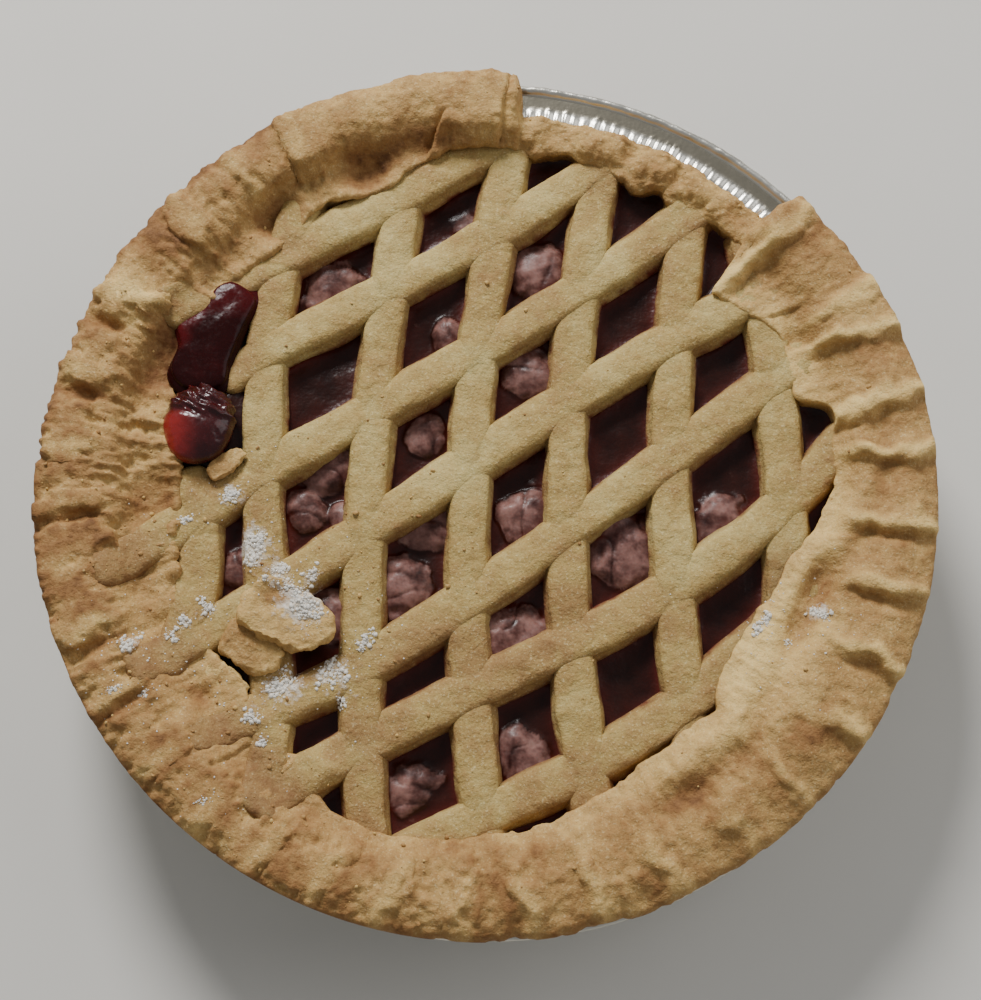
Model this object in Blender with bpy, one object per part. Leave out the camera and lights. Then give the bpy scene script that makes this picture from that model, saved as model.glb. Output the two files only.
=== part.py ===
# Cherry pie baked and sold in its own foil tin: a pastry shell with a thick rim folded in and
# crimped over the ends of an open pastry lattice, a set cherry filling that shows through the
# lattice, jelly that has boiled over on the left with one whole cherry in it, and one broken
# scrap of pastry lying on the lattice.
# Sizes are in millimetres and MM turns them into metres. +Z is up, +X is the right-hand side,
# -Y is the front. The pie rests on the tin's flat base at z = 0.

import math

import bmesh
import bpy
from mathutils import Vector

MM = 0.001
GAP = 0.35                    # air between neighbouring pieces

# Foil tin
TIN_SEGMENTS = 60
FOIL = 0.45                   # foil with its wrinkles
TIN_BASE_R = 78.0
TIN_WALL_R = 92.2             # inside of the wall, where it turns out into the flange
TIN_RIM_R = 102.0
FLANGE_Z = 28.5               # underside of the flange
BEAD = 1.5                    # height of the rolled bead above the flange's underside
BEAD_WIDTH = 2.2
TIN_CORNER = 0.9              # rise of the rounded corner between base and wall

# Pastry shell
CRUST_SEGMENTS = 120
BASE_THICKNESS = 3.4
FLOOR_R = 72.5                # inside of the shell where its wall meets its floor
WALL_FOOT = 0.4               # the wall starts this far above the floor
SHELL_CLEAR = 0.4             # sideways gap between the shell's wall and the tin's
OUTER_EDGE_Z = 32.6           # height at which the rim reaches furthest out
INNER_EDGE_Z = 31.0           # height at which the fold ends inside
# Top of the rim: share of its width in from the edge, drop below the crest, share of the pleats
RIM_SECTION = ((0.09, 2.0, 0.6), (0.28, 0.0, 1.0), (0.58, 0.4, 0.9), (0.86, 2.0, 0.3))
LEDGE_R, LEDGE_SHIFT = 78.0, 4.0    # the shell's opening, and how far it sits to the right
LEDGE_LIP, LEDGE_BLEND = 1.5, 6.0   # least ledge inside the rim, and the ease into it
# Outer radius, inner radius and height of the rim every 20 degrees anticlockwise from +X
RIM_OUTER = (102.5, 102.9, 101.2, 101.4, 101.8, 102.3, 101.6, 101.4, 100.6,
             101.6, 102.8, 102.2, 102.8, 101.6, 101.4, 101.2, 101.6, 101.8)
RIM_INNER = (80.5, 82.0, 84.0, 84.0, 84.0, 85.0, 86.5, 83.5, 85.0,
             82.0, 82.5, 81.0, 84.0, 82.0, 78.0, 73.5, 71.8, 74.0)
RIM_HEIGHT = (37.0, 37.4, 37.6, 37.6, 37.8, 38.2, 38.2, 37.8, 37.8,
              38.0, 38.2, 38.2, 38.0, 37.6, 37.4, 37.2, 37.0, 37.0)
# At the back right the overhang is missing and the flange shows
BREAK_FROM, BREAK_TO = 42.5, 86.0
BREAK_EDGE = 2.0              # degrees over which the overhang ends
BREAK_OUTER, BREAK_HEIGHT = 92.9, 34.4
# Pleats pressed into the rim: first ridge, number of ridges, degrees between them
PLEAT_RUNS = ((3.5, 3, 9.3), (31.5, 2, 9.5), (50.5, 4, 9.6), (90.0, 4, 10.0), (128.5, 5, 9.8),
              (178.5, 8, 9.6), (255.5, 5, 9.7), (304.0, 6, 9.9))
PLEAT_WIDTH = 2.6             # degrees
PLEAT_HEIGHT = 1.1

# Lattice: each strip is offset + slope s + bow s^2 + twist s^3, with s the distance along it
# from the pie's middle in units of 100 mm
STRIP_TOP = 31.6
STRIP_BOTTOM = 27.6
STRIP_SEGMENTS = 8
STEEP_HALF_WIDTH = 4.5        # strips that run front to back, given as x along y
SHALLOW_HALF_WIDTH = 4.7      # strips that rise to the right, given as y along x
SHALLOW_LIFT = 0.4            # the shallow strips stand a little proud
SHALLOW_BASE_LIFT = 0.12
STRIP_BEVEL = 1.7             # height of the bevelled top edges
STRIP_CROWN, STRIP_FOOT = 0.62, 0.9     # widths of the flat top and the underside, as shares
STEEP_STRIPS = {
    "steep_1": (-67.2, -32.0, -100.0, 0.0, -44.0, 4.5),
    "steep_2": (-51.3, -5.7, 10.3, 19.1, -70.0, 86.0),
    "steep_3": (-27.3, 5.5, 8.3, 0.0, -88.0, 90.0),
    "steep_4": (-4.2, 4.1, 10.2, 0.0, -90.0, 92.0),
    "steep_5": (18.1, 3.1, 12.3, 0.0, -88.0, 90.0),
    "steep_6": (42.0, 2.3, 10.7, 0.0, -78.0, 84.0),
    "steep_7": (67.8, -0.5, -13.3, 0.0, -48.0, 64.0),
}
SHALLOW_STRIPS = {
    "shallow_1": (84.1, 60.2, 4.3, 0.0, -76.0, 12.0),
    "shallow_2": (60.9, 58.4, 21.7, 33.9, -86.0, 38.0),
    "shallow_3": (33.6, 59.5, 8.7, 16.4, -88.0, 60.0),
    "shallow_4": (7.8, 65.5, -4.8, -5.2, -80.0, 76.0),
    "shallow_5": (-24.0, 68.3, 15.9, -14.1, -66.0, 84.0),
    "shallow_6": (-45.9, 45.6, -0.3, 33.1, -54.0, 86.0),
    "shallow_7": (-74.6, 45.8, -5.7, 55.7, -32.0, 78.0),
}
LEDGE_Z = STRIP_BOTTOM - GAP  # top of the shell under the strips' ends

# Filling
FILLING_SEGMENTS = 58
FILLING_TOP = 26.3
FILLING_SWELL = 0.55          # lumps of fruit under the jelly

# Jelly that boiled over on the left, the cherry in it, and the broken scrap
SPILL_LUMPS = (((-65.3, 37.2, 32.1), (8.2, 11.8, 2.9), 18.0),
               ((-62.4, 23.6, 31.4), (5.6, 8.6, 2.7), 8.0))
SPILL_PLUG_AT, SPILL_PLUG_R = (-59.4, 36.2), 3.9
CHERRY_AT, CHERRY_SIZE = (-68.4, 12.4, 34.0), (6.1, 6.9, 4.3)
SCRAP_AT, SCRAP_TURN = (-44.4, -31.4), -24.0
SCRAP_LENGTH, SCRAP_WIDTH, SCRAP_THICKNESS = 21.0, 13.0, 3.4
SCRAP_CORNERS = 18
SCRAP_SQUARE = 0.7            # 1 would be an ellipse, less is squarer
SCRAP_TAPER = 0.22


def smooth(t):
    """0 below 0, 1 above 1 and an even S between them."""
    t = min(1.0, max(0.0, t))
    return t * t * (3.0 - 2.0 * t)


def around(values, degrees):
    """Value at an angle from a ring of evenly spaced values, along a smooth curve through them."""
    count = len(values)
    place = degrees % 360.0 / 360.0 * count
    i = int(place)
    t = place - i
    a, b, c, d = (values[(i + k) % count] for k in (-1, 0, 1, 2))
    return b + 0.5 * t * (c - a + t * (2 * a - 5 * b + 4 * c - d + t * (3 * (b - c) + d - a)))


def breakAt(degrees):
    """1 where the rim's overhang is missing, 0 elsewhere."""
    begins = smooth((degrees % 360.0 - BREAK_FROM) / BREAK_EDGE)
    ends = smooth((BREAK_TO - degrees % 360.0) / BREAK_EDGE)
    return begins * ends


def rimOuter(degrees):
    return around(RIM_OUTER, degrees) + (BREAK_OUTER - around(RIM_OUTER, degrees)) * breakAt(degrees)


def rimInner(degrees):
    return around(RIM_INNER, degrees)


def rimHeight(degrees):
    return around(RIM_HEIGHT, degrees) + (BREAK_HEIGHT - around(RIM_HEIGHT, degrees)) * breakAt(degrees)


def pleat(degrees):
    """From -1 in the furrows to 1 on the ridges."""
    nearest = 180.0
    for first, count, step in PLEAT_RUNS:
        for k in range(count):
            away = abs((degrees - first - k * step + 180.0) % 360.0 - 180.0)
            nearest = min(nearest, away)
    return 2.0 * math.exp(-(nearest / PLEAT_WIDTH) ** 2) - 1.0


def ledgeRadius(degrees):
    """Inner edge of the shell's top: a circle that sits to the right, held inside the rim."""
    circle = LEDGE_R + LEDGE_SHIFT * math.cos(math.radians(degrees))
    held = rimInner(degrees) - LEDGE_LIP
    share = smooth(0.5 + (held - circle) / LEDGE_BLEND)
    return held + (circle - held) * share - 0.25 * LEDGE_BLEND * share * (1.0 - share)


def wallRadius(degrees, z):
    """Radius of the shell's inner wall, a straight slope from its floor up to the ledge."""
    ledge = ledgeRadius(degrees)
    floor = FOIL + BASE_THICKNESS + WALL_FOOT
    return FLOOR_R + (ledge - FLOOR_R) * (z - floor) / (LEDGE_Z - floor)


def material(name, color, roughness, metallic=0.0):
    made = bpy.data.materials.new(name)
    made.use_nodes = True
    shader = made.node_tree.nodes["Principled BSDF"]
    shader.inputs["Base Color"].default_value = (*color, 1.0)
    shader.inputs["Roughness"].default_value = roughness
    shader.inputs["Metallic"].default_value = metallic
    return made


def addObject(name, verts, faces):
    """An object from millimetre vertices and faces, with its normals pointing out."""
    mesh = bpy.data.meshes.new(name)
    mesh.from_pydata([Vector(v) * MM for v in verts], [], faces)
    bm = bmesh.new()
    bm.from_mesh(mesh)
    bmesh.ops.recalc_face_normals(bm, faces=bm.faces)
    bm.to_mesh(mesh)
    bm.free()
    made = bpy.data.objects.new(name, mesh)
    bpy.context.scene.collection.objects.link(made)
    return made


def ringSolid(name, ringAt, segments, first, last):
    """Closed solid through rings given by ringAt(degrees), with a middle point at each end."""
    verts = []
    for i in range(segments):
        turn = 360.0 * i / segments
        c, s = math.cos(math.radians(turn)), math.sin(math.radians(turn))
        verts += [(r * c, r * s, z) for r, z in ringAt(turn)]
    rings = len(verts) // segments
    verts += [(0.0, 0.0, first), (0.0, 0.0, last)]
    start, end = len(verts) - 2, len(verts) - 1
    faces = []
    for i in range(segments):
        a, b = i * rings, (i + 1) % segments * rings
        faces += [(a + k, b + k, b + k + 1, a + k + 1) for k in range(rings - 1)]
        faces += [(start, b, a), (end, a + rings - 1, b + rings - 1)]
    return addObject(name, verts, faces)


def combine(target, other, operation):
    """Boolean of two objects, kept in the first; the second is removed."""
    cut = target.modifiers.new(operation, "BOOLEAN")
    cut.operation = operation
    cut.object = other
    evaluated = target.evaluated_get(bpy.context.evaluated_depsgraph_get())
    mesh = bpy.data.meshes.new_from_object(evaluated)
    target.modifiers.clear()
    target.data = mesh
    bpy.data.objects.remove(other)
    return target


def makeTin():
    """Turned foil: flat base, sloping wall, flat flange and a rolled bead round the edge."""
    rim, low, top = TIN_RIM_R, FLANGE_Z, FLANGE_Z + FOIL
    outside = ((TIN_BASE_R - TIN_CORNER, 0.0), (TIN_BASE_R, TIN_CORNER), (TIN_WALL_R + FOIL, low - 0.7),
               (TIN_WALL_R + 1.4, low), (rim - BEAD_WIDTH, low), (rim - 0.3, low - 0.2))
    bead = ((rim, low + 0.5 * BEAD), (rim - 0.25 * BEAD_WIDTH, low + BEAD),
            (rim - 0.75 * BEAD_WIDTH, low + BEAD), (rim - BEAD_WIDTH, top))
    inside = ((TIN_WALL_R + 1.1, top), (TIN_WALL_R, low - 0.4),
              (TIN_BASE_R - 0.6, FOIL + TIN_CORNER), (TIN_BASE_R - 1.6, FOIL))
    profile = outside + bead + inside
    return ringSolid("foil_tin", lambda turn: profile, TIN_SEGMENTS, 0.0, FOIL)


def crustRings(turn):
    """Section of the shell: up its outside, over the folded rim and down its inside."""
    outer, inner, height = rimOuter(turn), rimInner(turn), rimHeight(turn)
    press = pleat(turn) * PLEAT_HEIGHT * (1.0 - 0.5 * breakAt(turn))
    under = TIN_WALL_R + SHELL_CLEAR
    reach = outer - under
    roof = FLANGE_Z + BEAD + GAP
    floor = FOIL + BASE_THICKNESS
    edge = outer + 0.35 * press
    outside = ((TIN_BASE_R - 1.9, FOIL + GAP), (TIN_BASE_R - 1.0, FOIL + TIN_CORNER + GAP),
               (TIN_WALL_R - SHELL_CLEAR, FLANGE_Z - 0.3), (under, FLANGE_Z + FOIL + GAP),
               (under + 0.62 * reach, roof), (edge - 0.1 * reach, roof + 0.2), (edge, OUTER_EDGE_Z))
    top = tuple((outer - share * (outer - inner), height - drop + give * press)
                for share, drop, give in RIM_SECTION)
    inside = ((inner, INNER_EDGE_Z), (inner + 0.2, LEDGE_Z), (ledgeRadius(turn), LEDGE_Z),
              (FLOOR_R, floor + WALL_FOOT), (FLOOR_R - 2.0, floor))
    return outside + top + inside


def makeCrust():
    return ringSolid("crust", crustRings, CRUST_SEGMENTS, FOIL + GAP, FOIL + BASE_THICKNESS)


def stripSolid(name, route, steep, grow=0.0):
    """Bar with bevelled top edges that follows a route; grow makes a larger copy for cutting."""
    offset, slope, bow, twist, start, end = route
    half = (STEEP_HALF_WIDTH if steep else SHALLOW_HALF_WIDTH) + grow
    top = STRIP_TOP + (0.0 if steep else SHALLOW_LIFT) + grow
    bottom = STRIP_BOTTOM + (0.0 if steep else SHALLOW_BASE_LIFT) - grow
    crown, foot, side = STRIP_CROWN * half, STRIP_FOOT * half, top - STRIP_BEVEL
    section = ((-foot, bottom), (foot, bottom), (half, side), (crown, top), (-crown, top), (-half, side))
    verts = []
    for i in range(STRIP_SEGMENTS + 1):
        along = start + (end - start) * i / STRIP_SEGMENTS
        s = along / 100.0
        across = offset + s * (slope + s * (bow + s * twist))
        lean = (slope + s * (2.0 * bow + 3.0 * s * twist)) / 100.0
        point = Vector((across, along)) if steep else Vector((along, across))
        across_way = Vector((1.0, -lean)) if steep else Vector((lean, -1.0))
        across_way.normalize()
        for w, z in section:
            x, y = point + across_way * w
            verts.append((x, y, z))
    n = len(section)
    faces = [tuple(range(n)), tuple(STRIP_SEGMENTS * n + k for k in range(n))]
    for i in range(STRIP_SEGMENTS):
        faces += [(i * n + k, i * n + (k + 1) % n, (i + 1) * n + (k + 1) % n, (i + 1) * n + k)
                  for k in range(n)]
    return addObject(name, verts, faces)


def rimOpening(grow):
    """Upright block that just fits inside the rim."""
    low, high = STRIP_BOTTOM - 3.0, STRIP_TOP + 5.0
    return ringSolid("opening", lambda turn: ((rimInner(turn) - grow, low), (rimInner(turn) - grow, high)),
                     CRUST_SEGMENTS, low, high)


def makeLattice():
    strips = [stripSolid(name, route, True) for name, route in STEEP_STRIPS.items()]
    strips += [stripSolid(name, route, False) for name, route in SHALLOW_STRIPS.items()]
    lattice = strips[0]
    for strip in strips[1:]:
        combine(lattice, strip, "UNION")
    combine(lattice, rimOpening(GAP + 0.1), "INTERSECT")
    lattice.name = "lattice"
    return lattice


def fillingRings(turn):
    """Section of the filling: up its side and in over its gently lumpy top."""
    low, shoulder = FOIL + BASE_THICKNESS + WALL_FOOT + GAP, FILLING_TOP - 0.6
    edge = wallRadius(turn, FILLING_TOP)
    a = math.radians(turn)
    rings = [(FLOOR_R - 2.6, low - WALL_FOOT), (wallRadius(turn, low) - 2.0 * GAP, low),
             (wallRadius(turn, shoulder) - 2.0 * GAP, shoulder)]
    for k, share in enumerate((0.97, 0.76, 0.5, 0.2)):
        swell = FILLING_SWELL * math.sin(3.0 * a + 1.9 * k) * math.cos(5.0 * a - 1.3 * k)
        rings.append((edge * share, FILLING_TOP + swell))
    return rings


def makeFilling():
    return ringSolid("filling", fillingRings, FILLING_SEGMENTS,
                     FOIL + BASE_THICKNESS + GAP, FILLING_TOP)


def ball(name, at, size, turn=0.0, grow=0.0):
    """Ellipsoid of the given half sizes, turned about the vertical."""
    mesh = bpy.data.meshes.new(name)
    bm = bmesh.new()
    bmesh.ops.create_uvsphere(bm, u_segments=14, v_segments=8, radius=1.0)
    for v in bm.verts:
        v.co = Vector(((size[0] + grow) * v.co.x, (size[1] + grow) * v.co.y, (size[2] + grow) * v.co.z))
        c, s = math.cos(math.radians(turn)), math.sin(math.radians(turn))
        v.co = Vector((v.co.x * c + v.co.y * s, v.co.y * c - v.co.x * s, v.co.z)) + Vector(at)
        v.co *= MM
    bm.to_mesh(mesh)
    bm.free()
    made = bpy.data.objects.new(name, mesh)
    bpy.context.scene.collection.objects.link(made)
    return made


def clearOfStrips(piece, names):
    """Cut a piece back so that it lies just clear of the named strips."""
    for name in names:
        steep = name in STEEP_STRIPS
        route = STEEP_STRIPS[name] if steep else SHALLOW_STRIPS[name]
        combine(piece, stripSolid(name + "_clear", route, steep, GAP), "DIFFERENCE")
    return piece


def makeCherry():
    cherry = ball("cherry", CHERRY_AT, CHERRY_SIZE, 12.0)
    return clearOfStrips(cherry, ("steep_1", "shallow_2"))


def makeSpill():
    """Two flat lumps of jelly joined to a plug that comes up between the strips."""
    spill = ball("jelly_spill", *SPILL_LUMPS[0])
    combine(spill, ball("second_lump", *SPILL_LUMPS[1]), "UNION")
    low, high = FILLING_TOP + FILLING_SWELL + GAP, STRIP_TOP + 0.6
    x, y = SPILL_PLUG_AT
    bm = bmesh.new()
    bmesh.ops.create_cone(bm, cap_ends=True, segments=14, radius1=SPILL_PLUG_R * MM,
                          radius2=SPILL_PLUG_R * MM, depth=(high - low) * MM)
    bmesh.ops.translate(bm, verts=bm.verts, vec=Vector((x, y, 0.5 * (low + high))) * MM)
    mesh = bpy.data.meshes.new("plug")
    bm.to_mesh(mesh)
    bm.free()
    plug = bpy.data.objects.new("plug", mesh)
    bpy.context.scene.collection.objects.link(plug)
    combine(spill, plug, "UNION")
    combine(spill, ball("cherry_clear", CHERRY_AT, CHERRY_SIZE, 12.0, GAP), "DIFFERENCE")
    return clearOfStrips(spill, ("steep_2", "shallow_1", "shallow_2"))


def makeScrap():
    """Broken end of a strip: a slab with a bevelled top, narrower and rounder at its right end."""
    outline = []
    for i in range(SCRAP_CORNERS):
        t = 2.0 * math.pi * i / SCRAP_CORNERS
        across = math.copysign(abs(math.cos(t)) ** SCRAP_SQUARE, math.cos(t))
        up = math.copysign(abs(math.sin(t)) ** SCRAP_SQUARE, math.sin(t))
        torn = 1.0 + 0.06 * math.sin(5.0 * t)
        outline.append((0.5 * SCRAP_LENGTH * across * torn,
                        0.5 * SCRAP_WIDTH * up * (1.0 - SCRAP_TAPER * across)))
    low = STRIP_TOP + SHALLOW_LIFT + GAP
    levels = ((0.94, low), (1.0, low + 0.35 * SCRAP_THICKNESS), (0.97, low + 0.7 * SCRAP_THICKNESS),
              (0.78, low + SCRAP_THICKNESS))
    turn = math.radians(SCRAP_TURN)
    c, s = math.cos(turn), math.sin(turn)
    verts = []
    for scale, z in levels:
        for x, y in outline:
            verts.append((SCRAP_AT[0] + scale * (x * c - y * s), SCRAP_AT[1] + scale * (x * s + y * c), z))
    n = len(outline)
    faces = [tuple(range(n)), tuple(3 * n + k for k in range(n))]
    for i in range(3):
        faces += [(i * n + k, i * n + (k + 1) % n, (i + 1) * n + (k + 1) % n, (i + 1) * n + k)
                  for k in range(n)]
    return addObject("pastry_scrap", verts, faces)


def centre(pieces):
    """Slide the whole pie so that its outline is centred on the vertical axis."""
    corners = [v.co for piece in pieces for v in piece.data.vertices]
    middle = Vector([0.5 * (min(c[k] for c in corners) + max(c[k] for c in corners)) for k in (0, 1)])
    for piece in pieces:
        for v in piece.data.vertices:
            v.co.xy -= middle


def main():
    for old in list(bpy.data.objects):
        bpy.data.objects.remove(old)
    pieces = {
        makeTin(): material("foil", (0.75, 0.74, 0.72), 0.3, 1.0),
        makeCrust(): material("baked_pastry", (0.55, 0.33, 0.13), 0.75),
        makeFilling(): material("cherry_filling", (0.06, 0.01, 0.012), 0.2),
        makeLattice(): material("pale_pastry", (0.62, 0.48, 0.25), 0.75),
        makeSpill(): material("cherry_jelly", (0.1, 0.008, 0.015), 0.12),
        makeCherry(): material("cherry_skin", (0.28, 0.015, 0.02), 0.15),
        makeScrap(): material("broken_pastry", (0.58, 0.42, 0.2), 0.8),
    }
    centre(list(pieces))
    for piece, finish in pieces.items():
        piece.data.materials.clear()
        piece.data.materials.append(finish)
        piece.data.shade_smooth()
        piece.data.set_sharp_from_angle(angle=math.radians(35.0))


main()
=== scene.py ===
import itertools
import math

import bpy
import numpy as np
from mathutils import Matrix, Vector
from mathutils.bvhtree import BVHTree


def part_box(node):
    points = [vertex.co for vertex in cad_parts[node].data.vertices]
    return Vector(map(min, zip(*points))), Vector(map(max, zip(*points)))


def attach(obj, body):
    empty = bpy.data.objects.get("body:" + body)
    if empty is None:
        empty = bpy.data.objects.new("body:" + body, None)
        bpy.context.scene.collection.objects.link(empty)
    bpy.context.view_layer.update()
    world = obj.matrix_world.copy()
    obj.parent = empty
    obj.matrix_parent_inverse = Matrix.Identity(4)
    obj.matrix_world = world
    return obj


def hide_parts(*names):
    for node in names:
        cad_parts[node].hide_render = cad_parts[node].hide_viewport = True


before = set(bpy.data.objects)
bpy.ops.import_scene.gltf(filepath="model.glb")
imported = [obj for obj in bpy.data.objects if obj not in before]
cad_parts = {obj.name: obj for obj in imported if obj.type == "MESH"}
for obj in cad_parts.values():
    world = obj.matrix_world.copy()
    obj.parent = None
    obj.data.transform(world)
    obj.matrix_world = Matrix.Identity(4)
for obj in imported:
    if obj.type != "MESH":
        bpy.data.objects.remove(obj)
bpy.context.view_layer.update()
tinLow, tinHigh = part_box("foil_tin")
mm = 0.001
pieMiddle = np.array([0.5 * (tinLow[k] + tinHigh[k]) for k in (0, 1)] + [0.0])   # metres
print("frame loaded")


# S-shaped step: 0 below 0, 1 above 1, 3t^2 - 2t^3 between
def ease(t):
    t = np.clip(t, 0.0, 1.0)
    return t * t * (3.0 - 2.0 * t)


# 1 between low and high, eased down to 0 over a distance inside each of them
def between(value, low, high, over):
    return ease((value - low) / over) * ease((high - value) / over)


# signed difference of two bearings in degrees, from -180 to 180
def bearingFrom(azimuth, centre):
    return np.mod(azimuth - centre + 180.0, 360.0) - 180.0


# flat-topped bump of a bearing: exp(-(difference / half)^4)
def bumpAt(azimuth, centre, half):
    return np.exp(-(bearingFrom(azimuth, centre) / half) ** 4)


# Catmull-Rom curve through values that are evenly spaced round the circle
def around(values, azimuth):
    values = np.asarray(values, float)
    place = np.mod(azimuth, 360.0) / 360.0 * len(values)
    i = np.floor(place).astype(int)
    t = place - i
    a, b, c, d = (values[(i + k) % len(values)] for k in (-1, 0, 1, 2))
    return b + 0.5 * t * (c - a + t * (2 * a - 5 * b + 4 * c - d + t * (3 * (b - c) + d - a)))


# cubic through (xs, ys) with slopes from the neighbouring points, held flat past both ends
def curveThrough(xs, ys, x):
    xs, ys = np.asarray(xs, float), np.asarray(ys, float)
    slopes = np.gradient(ys, xs)
    x = np.clip(x, xs[0], xs[-1])
    i = np.clip(np.searchsorted(xs, x, side="right") - 1, 0, len(xs) - 2)
    width = xs[i + 1] - xs[i]
    t = (x - xs[i]) / width
    rise = ease(t)
    bend = t * (1 - t) * ((1 - t) * slopes[i] - t * slopes[i + 1]) * width
    return ys[i] + (ys[i + 1] - ys[i]) * rise + bend


# large odd numbers that scatter the bits of a cell's number and of the seed
scatter = {"x": 73856093, "y": 19349663, "z": 83492791, "seed": 40503, "again": 1274126177}


# one pseudo-random value from -1 to 1 for each whole-numbered cell
def cellValue(cells, seed):
    mixed = cells[..., 0] * scatter["x"] ^ cells[..., 1] * scatter["y"]
    mixed = mixed ^ cells[..., 2] * scatter["z"] ^ seed * scatter["seed"]
    mixed = (mixed ^ (mixed >> 13)) * scatter["again"]
    return ((mixed ^ (mixed >> 16)) & 65535) / 32767.5 - 1.0


# random values on a cubic grid of that cell size in mm, eased from cell to cell
def softNoise(points, size, seed):
    scaled = points / size
    cells = np.floor(scaled).astype(np.int64)
    t = ease(scaled - cells)
    total = np.zeros(points.shape[:-1])
    for corner in itertools.product((0, 1), repeat=3):
        weight = np.prod(np.where(corner, t, 1.0 - t), axis=-1)
        total += weight * cellValue(cells + np.array(corner), seed)
    return total


# several soft noises, each half the size and about half the strength of the one before
def roughNoise(points, size, octaves, seed):
    return sum(0.55 ** k * softNoise(points, size * 0.5 ** k, seed + k) for k in range(octaves))


# folded noise, 1 - |noise|: narrow crests with round troughs between, for crags and cracks
def crestNoise(points, size, octaves, seed):
    return sum(0.5 ** k * (1.0 - 2.0 * np.abs(softNoise(points, size * 0.5 ** k, seed + k)))
               for k in range(octaves))


# points (radius cos bearing, radius sin bearing, height)
def placed(radius, azimuth, height):
    turn = np.radians(azimuth)
    return np.stack([radius * np.cos(turn), radius * np.sin(turn), height + 0.0 * turn], axis=-1)


# normals of rings of points: cross product of their two central differences
def ringNormals(points):
    across = np.gradient(points, axis=1)
    across[:, 0] = 0.5 * (points[:, 1] - points[:, -1])
    across[:, -1] = 0.5 * (points[:, 0] - points[:, -2])
    normals = np.cross(across, np.gradient(points, axis=0))
    return normals / np.maximum(np.linalg.norm(normals, axis=-1, keepdims=True), 1e-9)


# rings of points moved out along their normals by so many millimetres
def pushed(points, distance):
    return points + ringNormals(points) * distance[..., None]


# object from millimetre points and rows of vertex numbers; its place is in its mesh
def addPiece(name, points, faces, finish, values=None):
    mesh = bpy.data.meshes.new(name)
    mesh.vertices.add(len(points))
    mesh.vertices.foreach_set("co", (points * mm + pieMiddle).astype(np.float32).ravel())
    sizes = np.concatenate([np.full(len(block), block.shape[1]) for block in faces])
    corners = np.concatenate([block.ravel() for block in faces]).astype(np.int32)
    mesh.loops.add(len(corners))
    mesh.loops.foreach_set("vertex_index", corners)
    mesh.polygons.add(len(sizes))
    mesh.polygons.foreach_set("loop_start", (np.cumsum(sizes) - sizes).astype(np.int32))
    mesh.update(calc_edges=True)
    for key, value in (values or {}).items():
        attribute = mesh.attributes.new(key, "FLOAT", "POINT")
        attribute.data.foreach_set("value", value.astype(np.float32).ravel())
    mesh.shade_smooth()
    mesh.materials.append(finish)
    made = bpy.data.objects.new(name, mesh)
    bpy.context.scene.collection.objects.link(made)
    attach(made, "root")
    return made


# closed shell: quads between rings of points, and a middle point that closes the first and the last
# ring; a middle is the mean of its ring unless it is given
def closedShell(rings, first=None, last=None):
    rows, columns = rings.shape[:2]
    first = rings[0].mean(axis=0) if first is None else first
    last = rings[-1].mean(axis=0) if last is None else last
    points = np.concatenate([rings.reshape(-1, 3), [first, last]])
    numbers = np.arange(rows * columns).reshape(rows, columns)
    right = np.roll(numbers, -1, axis=1)
    quads = np.stack([numbers[:-1], right[:-1], right[1:], numbers[1:]], axis=-1).reshape(-1, 4)
    middle = np.full(columns, rows * columns)
    fans = [np.stack([middle, right[0], numbers[0]], axis=-1),
            np.stack([middle + 1, numbers[-1], right[-1]], axis=-1)]
    return points, [quads, np.concatenate(fans)]


# piece from a closed shell, with values at the points of its rings and 0 at the two middles
def addShell(name, rings, slotName, finish, values, first=None, last=None):
    points, faces = closedShell(rings, first, last)
    values = {key: np.append(value.ravel(), (0.0, 0.0)) for key, value in values.items()}
    return addPiece(name, points, faces, finish, values)


# screen colour (0 to 255) as linear light
def paint(red, green, blue):
    shares = np.array((red, green, blue)) / 255.0
    return (*np.where(shares <= 0.04045, shares / 12.92, ((shares + 0.055) / 1.055) ** 2.4), 1.0)


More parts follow.
